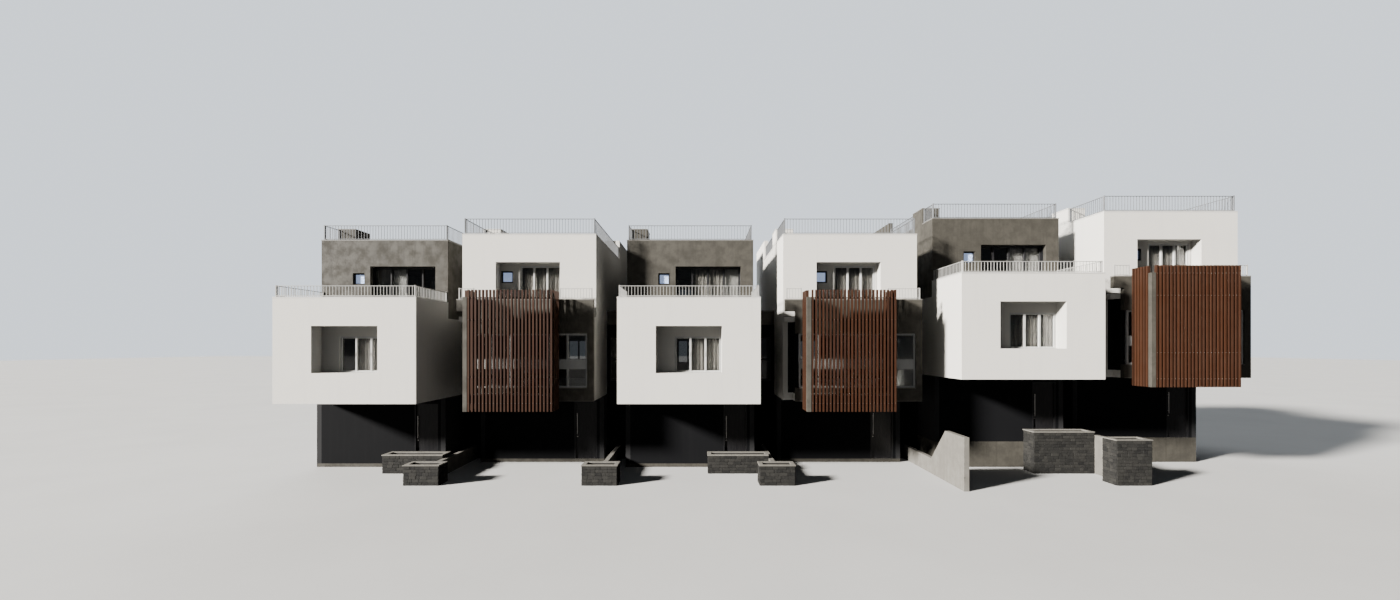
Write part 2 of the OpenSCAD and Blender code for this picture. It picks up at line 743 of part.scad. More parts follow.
// One knuckle of a hinge with its flap, the flap to the right for side 1 and to the left for side -1
module hinge_knuckle(length, side) {
    translate([0, 0, -length / 2]) {
        cylinder(r = hinge_r, h = length, $fn = 32);
        translate([side > 0 ? 0 : -flap_w, -hinge_off, 0]) cube([flap_w, hinge_off - hinge_r / 2, length]);
    }
}

// A door leaf with its pull bar and hinge knuckles
module door_leaf(house) color(frame_dark) if (house < houses) at_house(house) {
    x_1 = door_right - door_frame_w - leaf_gap;
    y = leaf_back(house) - leaf_t;
    block([x_1 - leaf_w, y, door_z + leaf_gap], [x_1, leaf_back(house), door_z + leaf_gap + leaf_h]);
    for (z = hinge_levels())
        translate([hinge_x, leaf_back(house) + hinge_off, z]) hinge_knuckle(hinge_l / 3, -1);
    translate([x_1 - leaf_w + pull_in, y - pull_off, door_z + pull_z])
        cylinder(r = pull_r, h = pull_l, $fn = 32);
    for (z = [pull_z + stem_in, pull_z + pull_l - stem_in])
        translate([x_1 - leaf_w + pull_in, y + 1, door_z + z]) rotate([90, 0, 0])
            cylinder(r = stem_r, h = pull_off + 1, $fn = 32);
}

ground_slabs();
plinth_side_walls();
plinth_cross_walls();
ground_side_walls();
entrance_walls();
entrance_lintels();
ground_rear_walls();
first_floor_slabs();
a_first_front_walls();
a_window_niches();
first_side_walls();
first_rear_walls();
second_floor_slabs();
a_terrace_parapets();
b_first_front_walls();
b_corner_walls();
balcony_slabs();
slat_screen_fronts();
slat_screen_sides();
screen_corner_posts();
a_second_front_walls();
a_door_reveals();
a_second_side_walls();
b_second_front_walls();
b_second_recesses();
b_second_side_walls();
second_rear_walls();
roof_slabs();
a_roof_shafts();
b_roof_shafts();
b_rear_shafts();
a_terrace_railings();
b_terrace_railings();
roof_railings();
window_frames();
dark_window_frames();
window_glass();
link_walls();
link_slabs();
garden_walls();
planters();
door_frames();
door_leaf(0);  // door_house_1
door_leaf(1);  // door_house_2
door_leaf(2);  // door_house_3
door_leaf(3);  // door_house_4
door_leaf(4);  // door_house_5
door_leaf(5);  // door_house_6
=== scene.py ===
import json
import math
import random
from collections import namedtuple

import bpy
from mathutils import Matrix, Vector


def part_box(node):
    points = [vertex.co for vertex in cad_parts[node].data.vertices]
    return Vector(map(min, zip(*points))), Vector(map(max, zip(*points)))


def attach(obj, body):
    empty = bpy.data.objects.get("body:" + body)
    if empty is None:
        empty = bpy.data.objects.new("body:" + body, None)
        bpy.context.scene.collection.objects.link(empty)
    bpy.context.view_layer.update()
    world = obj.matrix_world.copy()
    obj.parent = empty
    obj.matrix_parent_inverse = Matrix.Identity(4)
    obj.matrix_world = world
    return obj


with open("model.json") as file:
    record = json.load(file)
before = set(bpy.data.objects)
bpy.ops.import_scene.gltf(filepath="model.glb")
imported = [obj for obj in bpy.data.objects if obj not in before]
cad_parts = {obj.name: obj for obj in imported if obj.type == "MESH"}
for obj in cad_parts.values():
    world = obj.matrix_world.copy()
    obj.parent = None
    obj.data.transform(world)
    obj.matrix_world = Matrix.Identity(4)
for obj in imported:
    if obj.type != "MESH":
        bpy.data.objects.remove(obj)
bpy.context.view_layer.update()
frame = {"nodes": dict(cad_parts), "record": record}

# Sizes of the row in metres, in the frame of the construction
HOUSES = 6
HOUSE_W = 5.5
PITCH = 6.6
STEP_UP = 0.94
RAISED_FROM = 4
DEPTH = 12.0
WALL_T = 0.2
FLOOR_0 = 0.15
FLOOR_1 = 3.25
FLOOR_2 = 6.35
DECK = 9.33
SOFFIT = 2.95
CEILING_1 = 6.15
PARAPET_Z = 7.05
HALF = HOUSE_W / 2
GAP_W = PITCH - HOUSE_W
FRONT_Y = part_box("a_first_front_walls")[0].y
ROW_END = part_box("first_side_walls")[1].x

# House A
A_GROUND_Y = 2.4
NICHE_W = 2.54
NICHE_Z = 4.13
NICHE_D = 0.6
NICHE_WINDOW_W = 1.84
NICHE_WINDOW_H = 1.415
A_TOP_Y = 2.66
A_TOP_HALF = HALF - 0.02
A_TOP_Z = 9.755
A_SLIDER_X = -0.632
A_SLIDER_W = 2.82
A_SLIDER_H = 2.26
A_REVEAL_D = 0.42
A_SMALL_X = -1.38

# House B
B_FRONT_Y = 1.0
B_GROUND_Y = 3.4
BAND_LOW = 3.49
BAND_HIGH = 5.67
TRANSOM_Z = 4.25
TRANSOM_H = 0.38
NOTCH_W = 0.414
GLAZING_LEFT = -HALF + NOTCH_W + 0.15
GLAZING_RIGHT = 2.49
B_TOP_Y = 1.54
B_TOP_Z = 9.785
RECESS_X = -1.38
RECESS_W = 2.64
RECESS_D = 0.46
RECESS_H = 2.275
B_SLIDER_X = -0.536
B_SLIDER_W = 1.72
B_SLIDER_H = 2.19
B_SMALL_X = -1.33
SMALL_Z = 7.82
SMALL_W = 0.5

# Windows and doors
FRAME_D = 0.07
GLASS_T = 0.01
FRAME_IN = 0.06
LINING_FRAME_IN = 0.04
WIDE_BAR = 0.06
SLIM_BAR = 0.04
DOOR_RIGHT = 2.43
DOOR_W = 1.0
DOOR_H = 2.55
DOOR_FRAME_W = 0.05
DOOR_FRAME_D = 0.12
LEAF_T = 0.05
LEAF_GAP = 0.006
LEAF_W = DOOR_W - 2 * DOOR_FRAME_W - 2 * LEAF_GAP
LEAF_H = DOOR_H - DOOR_FRAME_W - 2 * LEAF_GAP
PULL_IN = 0.07
PULL_OFF = 0.045
PULL_Z = 1.08
PULL_L = 0.94
STEM_IN = 0.12
LOCK_Z = 0.98
HANDLE_Z = 1.05

# Links, roofs, planters, screens and railings
LINK_Y = 4.2
LINK_WINDOW_Z = 3.6
LINK_WINDOW_W = 0.8
LINK_WINDOW_H = 1.98
LINK_PANE_H = 0.92
KERB_H = 0.45
KERB_T = 0.15
LINK_ROOF_Z = CEILING_1 + 0.2
SHAFT_Y = 3.72
SHAFT_L = 1.08
SHAFT_W = 0.78
SHAFT_Z = 10.45
COURT_Y = 8.0
REAR_SHAFT_W = 0.59
GARDEN_T = 0.18
PLANTER_W = 1.3
PLANTER_D = 0.7
PLANTER_H = 0.72
PLANTER_T = 0.12
A_PLANTER_X = 0.76
A_PLANTER_Y = 1.2
SCREEN_X = -2.07
SCREEN_W = 3.45
SLAT_D = 0.11
SLAT_W = 0.06
SLAT_STEP = 0.138
RAIL_T = 0.05
CORNER_POST_W = SLAT_D + RAIL_T
SCREEN_RUN = SCREEN_W - CORNER_POST_W
RAIL_INSET = 0.06
POST_T = 0.04

# Bevels of thin sheet, of small fittings, of plates and of caps, and the space between two thin pieces
SHEET_EDGE = 0.001
FINE_EDGE = 0.0015
PLATE_EDGE = 0.002
CAP_EDGE = 0.004
CLEAR = 0.001

# The photo's frame, from which the camera comes
IMAGE_W = 1400
HORIZON_BELOW_MIDDLE = 46
FOCAL_PX = 540
SENSOR_W = 36.0
EYE = Vector((-2.873, FRONT_Y - 20.68, 5.17))
VIEW_END = 500
FLOOR_SIZE = 500

Window = namedtuple("Window", "x y z w h panes bar rail_z rail_h", defaults=(0.0, 0.0))


def is_b(house):
    return house % 2 == 1


def lift(house):
    return STEP_UP if house >= RAISED_FROM else 0.0


def house_place(house):
    """The point in a house's middle, in the plane of the white fronts, on its own ground."""
    return Vector(((house - (HOUSES - 1) / 2) * PITCH, FRONT_Y, lift(house)))


def link_place(gap):
    return house_place(gap) + Vector((PITCH / 2, 0, 0))


def top_y(house):
    return B_TOP_Y if is_b(house) else A_TOP_Y


def top_half(house):
    return HALF if is_b(house) else A_TOP_HALF


def top_z(house):
    return B_TOP_Z if is_b(house) else A_TOP_Z


def ground_y(house):
    return B_GROUND_Y if is_b(house) else A_GROUND_Y


PLACES = [house_place(house) for house in range(HOUSES)]
A_PLACES = PLACES[0::2]
B_PLACES = PLACES[1::2]
LINK_PLACES = [link_place(gap) for gap in range(HOUSES - 1)]


# Modelling helpers

def deselect():
    if bpy.context.object and bpy.context.object.mode != "OBJECT":
        bpy.ops.object.mode_set(mode="OBJECT")
    bpy.ops.object.select_all(action="DESELECT")


def shape_in_edit_mode(piece, *steps):
    """Runs modelling steps on a piece's selected faces, in face mode."""
    bpy.ops.object.mode_set(mode="EDIT")
    for step in steps:
        step()
    bpy.ops.object.mode_set(mode="OBJECT")
    return piece


def soften(offset):
    """A step that bevels all edges of a piece."""
    def step():
        bpy.ops.mesh.select_all(action="SELECT")
        bpy.ops.mesh.bevel(offset=offset, segments=1, affect="EDGES")
    return step


def cuboid(centre, size):
    """A plain block, to be shaped further."""
    deselect()
    bpy.ops.mesh.primitive_cube_add(size=1, location=centre)
    piece = bpy.context.object
    piece.scale = size
    bpy.ops.object.transform_apply(location=True, rotation=True, scale=True)
    return piece


def block(low, high, bevel=0.003):
    """A block between two corners with softened edges."""
    low, high = Vector(low), Vector(high)
    return shape_in_edit_mode(cuboid((low + high) / 2, high - low), soften(bevel))


def select_faces(piece, wanted):
    bpy.context.tool_settings.mesh_select_mode = (False, False, True)
    for face in piece.data.polygons:
        face.select = wanted(face)


def ring(low, w, h, width, depth, bevel=0.002):
    """An upright rectangular ring along X from its lowest corner on, with an open middle."""
    size = Vector((w, depth, h))
    piece = cuboid(Vector(low) + size / 2, size)
    select_faces(piece, lambda face: abs(face.normal.y) > 0.9)
    return shape_in_edit_mode(
        piece, lambda: bpy.ops.mesh.inset(thickness=width, depth=0), bpy.ops.mesh.bridge_edge_loops,
        soften(bevel))


def knob(centre, axis, radius, length, sides=12, bevel=0.2):
    """A round piece along an axis, with softened rims."""
    deselect()
    bpy.ops.mesh.primitive_cylinder_add(vertices=sides, radius=radius, depth=length, location=centre)
    piece = bpy.context.object
    piece.rotation_mode = "QUATERNION"
    piece.rotation_quaternion = Vector((0, 0, 1)).rotation_difference(Vector(axis))
    bpy.ops.object.transform_apply(location=True, rotation=True, scale=True)
    select_faces(piece, lambda face: len(face.vertices) == sides)
    shape_in_edit_mode(piece, lambda: bpy.ops.mesh.bevel(offset=radius * bevel, segments=1, affect="EDGES"))
    bpy.ops.object.shade_smooth_by_angle(angle=math.radians(35))
    return piece


def twin(piece, shift=(0, 0, 0), scale=(1, 1, 1)):
    """A copy of a piece with its own mesh, scaled about the origin and then moved."""
    made = piece.copy()
    made.data = piece.data.copy()
    bpy.context.scene.collection.objects.link(made)
    made.data.transform(Matrix.Translation(shift) @ Matrix.Diagonal((*scale, 1)))
    return made


def merged(parts):
    deselect()
    for part in parts:
        part.select_set(True)
    bpy.context.view_layer.objects.active = parts[0]
    if len(parts) > 1:
        bpy.ops.object.join()
    return parts[0]


def repeated(parts, places):
    """Parts that belong together, joined and copied to all places."""
    model = merged(parts)
    made = [twin(model, place) for place in places]
    bpy.data.objects.remove(model)
    return made


def in_row(piece, count, step):
    """A piece repeated along a straight row."""
    deselect()
    piece.select_set(True)
    bpy.context.view_layer.objects.active = piece
    row = piece.modifiers.new("row", "ARRAY")
    row.use_relative_offset = False
    row.use_constant_offset = True
    row.constant_offset_displace = step
    row.count = count
    bpy.ops.object.modifier_apply(modifier="row")
    return piece


def toned(piece, rnd):
    """Gives a stone, slab or board a tone of its own, which its material reads."""
    tone = piece.data.attributes.new("tone", "FLOAT", "FACE")
    tone.data.foreach_set("value", [rnd.random()] * len(piece.data.polygons))
    return piece


def finish_piece(name, parts, material, body="row"):
    """Joins parts to one piece with a name and a material, and lets it ride on a body."""
    piece = merged(parts)
    piece.name = name
    piece.data.name = name
    piece.data.materials.clear()
    piece.data.materials.append(materials[material])
    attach(piece, body)
    deselect()
    return piece


# Node helpers

def node(tree, kind, inputs=None, **settings):
    """A shader node with its settings and its inputs, which are values or the outputs of other nodes."""
    made = tree.nodes.new("ShaderNode" + kind)
    for key, value in settings.items():
        setattr(made, key, value)
    for key, value in (inputs or {}).items():
        if isinstance(value, bpy.types.NodeSocket):
            tree.links.new(value, made.inputs[key])
        else:
            made.inputs[key].default_value = value
    return made


def group(name, inputs, outputs):
    """An empty shader group with named inputs and outputs, its input node and its output node."""
    tree = bpy.data.node_groups.new(name, "ShaderNodeTree")
    for title, value in inputs:
        tree.interface.new_socket(title, in_out="INPUT", socket_type="NodeSocketFloat").default_value = value
    for title in outputs:
        tree.interface.new_socket(title, in_out="OUTPUT", socket_type="NodeSocketFloat")
    return tree, tree.nodes.new("NodeGroupInput").outputs, tree.nodes.new("NodeGroupOutput").inputs


def object_place(tree):
    return node(tree, "TexCoord").outputs["Object"]


def noise(tree, place, scale, detail=4.0, rough=0.55, stretch=(1.0, 1.0, 1.0)):
    """Noise over a place, which may be stretched by three factors."""
    return node(tree, "TexNoise", {
        "Vector": vector(tree, "MULTIPLY", place, stretch), "Scale": scale, "Detail": detail,
        "Roughness": rough}).outputs["Fac"]


def spread(tree, value, low, high):
    """A value spread smoothly from 0 at low to 1 at high."""
    return node(tree, "MapRange", {"Value": value, "From Min": low, "From Max": high},
                clamp=True, interpolation_type="SMOOTHSTEP").outputs[0]


def maths(tree, operation, *values):
    return node(tree, "Math", dict(enumerate(values)), operation=operation).outputs[0]


def vector(tree, operation, *values):
    return node(tree, "VectorMath", dict(enumerate(values)), operation=operation).outputs[0]


def mix(tree, mask, first, second):
    return node(tree, "Mix", {0: mask, 6: first, 7: second}, data_type="RGBA").outputs[2]


def tint(tree, mask, share, first, second):
    """The first colour, taken towards the second by a share of a mask."""
    return mix(tree, maths(tree, "MULTIPLY", mask, share), first, second)


def weather_group():
    """What a surface gets outdoors: rain streaks, broad blotches and fine grain."""
    tree, given, out = group(
        "weather", [("Streak Width", 6.0), ("Blotch Size", 1.0), ("Grain Size", 120.0)],
        ["Streaks", "Blotches", "Grain"])
    place = object_place(tree)
    streaks = noise(tree, place, given["Streak Width"], 5.0, stretch=(1.0, 1.0, 0.07))
    blotches = noise(tree, place, given["Blotch Size"], 6.0, 0.62)
    tree.links.new(spread(tree, streaks, 0.5, 0.72), out["Streaks"])
    tree.links.new(spread(tree, blotches, 0.35, 0.68), out["Blotches"])
    tree.links.new(noise(tree, place, given["Grain Size"], 3.0), out["Grain"])
    return tree


def pores_group():
    """Small round pores, strewn unevenly."""
    tree, given, out = group("pores", [("Spacing", 9.0), ("Size", 0.12)], ["Pores"])
    place = object_place(tree)
    cells = node(tree, "TexVoronoi", {"Vector": place, "Scale": given["Spacing"]})
    near = maths(tree, "LESS_THAN", cells.outputs["Distance"], given["Size"])
    rare = maths(tree, "GREATER_THAN", noise(tree, place, 2.2), 0.52)
    tree.links.new(maths(tree, "MULTIPLY", near, rare), out["Pores"])
    return tree


# A step longer than the row, so that boards aren't split along it
UNSPLIT = 1000.0


def boards_group():
    """Upright boards or slats side by side: a tone for each from 0 to 1, and the joints along Y."""
    tree, given, out = group(
        "boards", [("X Start", 0.0), ("X Step", 0.1), ("Y Start", 0.0), ("Y Step", 0.1), ("Joint", 0.04)],
        ["Tone", "Joints"])
    start = node(tree, "CombineXYZ", {"X": given["X Start"], "Y": given["Y Start"], "Z": 0.0}).outputs[0]
    steps = node(tree, "CombineXYZ", {"X": given["X Step"], "Y": given["Y Step"], "Z": UNSPLIT}).outputs[0]
    shares = vector(tree, "DIVIDE", vector(tree, "SUBTRACT", object_place(tree), start), steps)
    tone = node(tree, "TexWhiteNoise", {"Vector": vector(tree, "FLOOR", shares)}, noise_dimensions="3D")
    tree.links.new(tone.outputs["Value"], out["Tone"])
    across = node(tree, "SeparateXYZ", {0: vector(tree, "FRACTION", shares)}).outputs["Y"]
    tree.links.new(maths(tree, "LESS_THAN", across, given["Joint"]), out["Joints"])
    return tree


# Shares of the light that surfaces would bounce onto their neighbours, and hold back
RENDER_HOLD = 0.93
SLAT_HOLD = 0.8
STONE_HOLD = 0.7

effects = {"weather": weather_group(), "pores": pores_group(), "boards": boards_group()}
materials = {}


def start_material(name, **values):
    """Adds a material whose fixed values are set on its Principled shader's own sockets."""
    material = materials[name] = bpy.data.materials.new(name)
    material.use_nodes = True
    shader = material.node_tree.nodes["Principled BSDF"]
    for key, value in values.items():
        shader.inputs[key.replace("_", " ")].default_value = value
    return material.node_tree, shader


def placed(tree, effect, **values):
    """A shared effect placed in a material with its own values."""
    made = node(tree, "Group", node_tree=effects[effect])
    for key, value in values.items():
        made.inputs[key.replace("_", " ")].default_value = value
    return made.outputs


def weather_on(tree, streak_width, blotch_size, grain_size):
    return placed(tree, "weather", Streak_Width=streak_width, Blotch_Size=blotch_size, Grain_Size=grain_size)


def paint(tree, shader, colour):
    tree.links.new(colour, shader.inputs["Base Color"])


def bump(tree, shader, height, strength, distance):
    made = node(tree, "Bump", {"Height": height, "Strength": strength, "Distance": distance})
    tree.links.new(made.outputs[0], shader.inputs["Normal"])


def held_back(tree, colour, share):
    """A colour that bounces less light onto its neighbours by a share, so that the shade stays deep."""
    bounced = node(tree, "LightPath").outputs["Is Diffuse Ray"]
    return tint(tree, bounced, share, colour, (0.0, 0.0, 0.0, 1))


def render_material(name, clean, dirty, worn, gloss=0.5):
    """Painted render: a fine float-finished grain, faint streaks and blotches."""
    tree, shader = start_material(name, Roughness=0.85, Specular_IOR_Level=gloss)
    weather = weather_on(tree, 5.0, 0.9, 90.0)
    streaked = tint(tree, weather["Streaks"], worn, clean, dirty)
    blotched = tint(tree, weather["Blotches"], worn * 0.6, streaked, dirty)
    paint(tree, shader, held_back(tree, blotched, RENDER_HOLD))
    bump(tree, shader, weather["Grain"], 0.25, 0.004)


def concrete_material(name, light, dark):
    """Fair-faced concrete: mottled, with pores, dark runs, and board marks on its side faces."""
    tree, shader = start_material(name)
    fine, broad = weather_on(tree, 3.0, 2.6, 60.0), weather_on(tree, 1.2, 0.7, 14.0)
    runs = weather_on(tree, 11.0, 2.0, 60.0)["Streaks"]
    pores = placed(tree, "pores", Spacing=7.0, Size=0.09)["Pores"]
    pits = placed(tree, "pores", Spacing=1.5, Size=0.05)["Pores"]
    boards = placed(tree, "boards", X_Step=UNSPLIT, Y_Step=0.13, Joint=0.07)
    boarded = tint(tree, boards["Tone"], 0.35, light, dark)
    mottled = tint(tree, fine["Blotches"], 0.75, boarded, dark)
    clouded = tint(tree, broad["Blotches"], 0.4, mottled, dark)
    streaked = tint(tree, maths(tree, "MAXIMUM", fine["Streaks"], runs), 0.55, clouded, dark)
    joints = maths(tree, "MULTIPLY", boards["Joints"], 0.5)
    marks = maths(tree, "MAXIMUM", maths(tree, "MAXIMUM", pores, pits), joints)
    marked = tint(tree, marks, 0.55, streaked, (0.05, 0.048, 0.042, 1))
    paint(tree, shader, held_back(tree, marked, STONE_HOLD))
    tree.links.new(maths(tree, "MULTIPLY_ADD", fine["Blotches"], 0.2, 0.66), shader.inputs["Roughness"])
    bump(tree, shader, maths(tree, "SUBTRACT", broad["Grain"], marks), 0.35, 0.006)


def metal_material(name, colour, worn_colour, **values):
    """Coated metal with faint streaks and a fine grain."""
    tree, shader = start_material(name, **values)
    weather = weather_on(tree, 14.0, 3.0, 180.0)
    blotched = tint(tree, weather["Blotches"], 0.5, colour, worn_colour)
    paint(tree, shader, tint(tree, weather["Streaks"], 0.35, blotched, worn_colour))
    bump(tree, shader, weather["Grain"], 0.12, 0.001)


def slat_steps(run):
    """How many steps from slat to slat fit in a run."""
    return int((run - SLAT_W) / SLAT_STEP)


def first_slat(run):
    """Where the first slat of a run starts, so that both ends are equal."""
    return (run - slat_steps(run) * SLAT_STEP - SLAT_W) / 2


def slat_material():
    """Rust-brown slats, each a little lighter or darker than the next, with lengthwise wear."""
    tree, shader = start_material("rust_slats", Roughness=0.55, Specular_IOR_Level=0.25)
    weather = weather_on(tree, 30.0, 2.0, 160.0)
    gap_middle = (SLAT_STEP - SLAT_W) / 2
    first = SCREEN_X + CORNER_POST_W + first_slat(SCREEN_RUN)
    every = 2 * PITCH / round(2 * PITCH / SLAT_STEP)
    side_first = first_slat(B_FRONT_Y - CORNER_POST_W)
    shade = placed(tree, "boards", X_Start=B_PLACES[0].x + first - gap_middle, X_Step=every,
                   Y_Start=FRONT_Y + B_FRONT_Y - side_first + gap_middle, Y_Step=SLAT_STEP)["Tone"]
    tone = mix(tree, shade, (0.056, 0.021, 0.0095, 1), (0.037, 0.015, 0.008, 1))
    streaked = tint(tree, weather["Streaks"], 0.5, tone, (0.032, 0.015, 0.009, 1))
    blotched = tint(tree, weather["Blotches"], 0.3, streaked, (0.064, 0.033, 0.021, 1))
    paint(tree, shader, held_back(tree, blotched, SLAT_HOLD))
    bump(tree, shader, weather["Grain"], 0.15, 0.001)


def glass_material():
    """Clear window glass with a faint grey tint, which lets the sun in."""
    tree, shader = start_material(
        "window_glass", Metallic=0.0, Transmission_Weight=1.0, IOR=1.5, Roughness=0.02)
    weather = weather_on(tree, 8.0, 1.5, 40.0)
    paint(tree, shader, mix(tree, weather["Blotches"], (0.93, 0.95, 0.96, 1), (0.88, 0.91, 0.93, 1)))
    shadow = node(tree, "LightPath").outputs["Is Shadow Ray"]
    tree.links.new(maths(tree, "MULTIPLY_ADD", shadow, -0.75, 1.0), shader.inputs["Alpha"])


def frosted_material():
    """Pale blue frosted glass, with a painted glow that stands in for daylight coming through it from behind.
    """
    # The emission set here, fed the frost colour below, is a painted glow: the glass is no lamp, and the glow
    # stands in for daylight from behind.
    tree, shader = start_material("frosted_glass", Roughness=0.35, Coat_Weight=0.5, Emission_Strength=0.55)
    weather = weather_on(tree, 8.0, 2.0, 200.0)
    frost_and_painted_glow = mix(tree, weather["Blotches"], (0.58, 0.70, 1.0, 1), (0.50, 0.63, 0.96, 1))
    paint(tree, shader, frost_and_painted_glow)
    tree.links.new(frost_and_painted_glow, shader.inputs["Emission Color"])
    bump(tree, shader, weather["Grain"], 0.1, 0.0005)


def door_material():
    """Black lacquered boards with a lengthwise grain."""
    tree, shader = start_material("door_dark", Coat_Weight=0.15, Coat_Roughness=0.2, Specular_IOR_Level=0.3)
    grain = noise(tree, object_place(tree), 60.0, 6.0, 0.7, (1.0, 1.0, 0.05))
    dark, light = (0.012, 0.012, 0.014, 1), (0.026, 0.025, 0.026, 1)
    paint(tree, shader, mix(tree, spread(tree, grain, 0.4, 0.65), dark, light))
    tree.links.new(maths(tree, "MULTIPLY_ADD", grain, 0.3, 0.22), shader.inputs["Roughness"])
    bump(tree, shader, grain, 0.2, 0.001)


def cloth_material(name, light, dark, thread):
    """Woven cloth: a fine weave that follows the cloth, and slow changes of tone."""
    tree, shader = start_material(name, Roughness=0.9, Sheen_Weight=0.3)
    place = node(tree, "UVMap", uv_map="UVMap").outputs[0]
    weft, warp = [node(tree, "TexWave", {"Vector": place, "Scale": 160.0}, bands_direction=way).outputs["Fac"]
                  for way in ("X", "Y")]
    weave = maths(tree, "MULTIPLY", weft, warp)
    base = mix(tree, spread(tree, noise(tree, place, 3.0), 0.35, 0.7), light, dark)
    paint(tree, shader, tint(tree, weave, 0.4, base, thread))
    bump(tree, shader, weave, 0.2, 0.0005)


def toned_material(name, light, dark, fleck, relief, **values):
    """Stones or slabs, each in its own tone, with flecks and a worn face."""
    tree, shader = start_material(name, **values)
    tone = node(tree, "Attribute", attribute_name="tone").outputs["Fac"]
    weather = weather_on(tree, 9.0, 5.0, 45.0)
    blotched = tint(tree, weather["Blotches"], 0.35, mix(tree, tone, light, dark), dark)
    flecked = tint(tree, spread(tree, weather["Grain"], 0.56, 0.7), 0.5, blotched, fleck)
    paint(tree, shader, held_back(tree, flecked, STONE_HOLD))
    bump(tree, shader, maths(tree, "ADD", weather["Grain"], weather["Blotches"]), 0.5, relief)


def loose_material(name, light, dark, relief):
    """Soil or roofing with a rough, broken surface."""
    tree, shader = start_material(name, Roughness=1.0)
    weather = weather_on(tree, 20.0, 9.0, 70.0)
    paint(tree, shader, mix(tree, weather["Blotches"], light, dark))
    bump(tree, shader, weather["Grain"], 0.8, relief)


def make_wall_materials():
    render_material("white_render", (0.90, 0.875, 0.815, 1), (0.66, 0.63, 0.57, 1), 0.10)
    # The dark render is partly its own dark grey and partly painted shade: far darker than any paint, its
    # colour stands in for the deep shade on the ground-floor walls.
    render_material("dark_render", (0.007, 0.0073, 0.0085, 1), (0.013, 0.013, 0.014, 1), 0.2, 0.12)
    # A dark grey copy of the white render for the ground side walls: painted shade, standing in for the deep
    # shade under the overhangs.
    render_material("painted_shade_render", (0.035, 0.035, 0.037, 1), (0.022, 0.022, 0.023, 1), 0.3, 0.2)
    concrete_material("fair_faced_concrete", (0.097, 0.090, 0.074, 1), (0.044, 0.040, 0.032, 1))
    concrete_material("pale_concrete", (0.26, 0.25, 0.225, 1), (0.17, 0.16, 0.14, 1))
    concrete_material("planter_stone", (0.03, 0.03, 0.028, 1), (0.018, 0.018, 0.017, 1))
    toned_material("walling_stone", (0.012, 0.012, 0.012, 1), (0.035, 0.034, 0.031, 1),
                   (0.09, 0.087, 0.079, 1), 0.008, Roughness=0.85, Specular_IOR_Level=0.25)
    toned_material("terrace_slabs", (0.36, 0.35, 0.33, 1), (0.27, 0.26, 0.24, 1),
                   (0.42, 0.41, 0.38, 1), 0.002, Roughness=0.8)
    loose_material("soil", (0.045, 0.032, 0.022, 1), (0.09, 0.068, 0.048, 1), 0.01)
    loose_material("roofing_felt", (0.10, 0.10, 0.10, 1), (0.14, 0.138, 0.132, 1), 0.002)


def make_metal_materials():
    slat_material()
    for name, colour, worn_colour, roughness in (
            ("railing_steel", (0.55, 0.55, 0.53, 1), (0.42, 0.41, 0.39, 1), 0.35),
            # The roof rail steel is a darker copy of the railing steel: painted shade, standing in for the
            # shade the roof railings are in.
            ("painted_shade_rail_steel", (0.24, 0.25, 0.265, 1), (0.17, 0.175, 0.18, 1), 0.4),
            ("frame_white", (0.74, 0.74, 0.72, 1), (0.62, 0.62, 0.59, 1), 0.3),
            ("frame_dark", (0.022, 0.022, 0.024, 1), (0.04, 0.04, 0.042, 1), 0.35),
            ("white_coping", (0.80, 0.79, 0.76, 1), (0.68, 0.66, 0.62, 1), 0.5),
            ("grey_coping", (0.20, 0.19, 0.172, 1), (0.14, 0.132, 0.118, 1), 0.5),
            ("rubber_seal", (0.012, 0.012, 0.012, 1), (0.02, 0.02, 0.02, 1), 0.7)):
        metal_material(name, colour, worn_colour, Roughness=roughness)
    metal_material("bare_steel", (0.60, 0.59, 0.57, 1), (0.45, 0.44, 0.42, 1), Roughness=0.3, Metallic=0.9)


def make_opening_materials():
    door_material()
    glass_material()
    frosted_material()
    cloth_material("curtain_cloth", (0.115, 0.104, 0.088, 1), (0.08, 0.072, 0.06, 1), (0.15, 0.137, 0.118, 1))
    cloth_material("blind_cloth", (0.20, 0.192, 0.175, 1), (0.16, 0.153, 0.14, 1), (0.24, 0.23, 0.21, 1))
# The ground side walls take the dark copy of the render, which is painted shade.
NODE_MATERIALS = {"garden_walls": "pale_concrete", "ground_side_walls": "painted_shade_render",
                  # The roof railings take the darker rail steel, which is painted shade.
                  "roof_railings": "painted_shade_rail_steel"}


def dress_nodes():
    """Gives every node the material of its slot in the record, or its own."""
    for part in frame["record"]["subparts"]:
        piece = frame["nodes"][part["node"]]
        piece.data.materials.clear()
        piece.data.materials.append(materials[NODE_MATERIALS.get(part["node"], part["material_slot"])])


# Windows: every pane's sash and its seal, handles, sills and tracks

NICHE_WINDOW = Window(NICHE_W / 2 - NICHE_WINDOW_W, NICHE_D + LINING_FRAME_IN, NICHE_Z,
                      NICHE_WINDOW_W, NICHE_WINDOW_H, 3, WIDE_BAR)
A_DOORS = Window(A_SLIDER_X, A_TOP_Y + A_REVEAL_D - FRAME_D - GLASS_T, FLOOR_2,
                 A_SLIDER_W, A_SLIDER_H, 4, WIDE_BAR)
A_SMALL = Window(A_SMALL_X, A_TOP_Y + FRAME_IN, SMALL_Z, SMALL_W, SMALL_W, 1, SLIM_BAR)
B_DOORS = Window(B_SLIDER_X, B_TOP_Y + RECESS_D + LINING_FRAME_IN, FLOOR_2,
                 B_SLIDER_W, B_SLIDER_H, 3, WIDE_BAR)
B_SMALL = Window(B_SMALL_X, B_TOP_Y + RECESS_D + LINING_FRAME_IN, SMALL_Z, SMALL_W, SMALL_W, 1, SLIM_BAR)
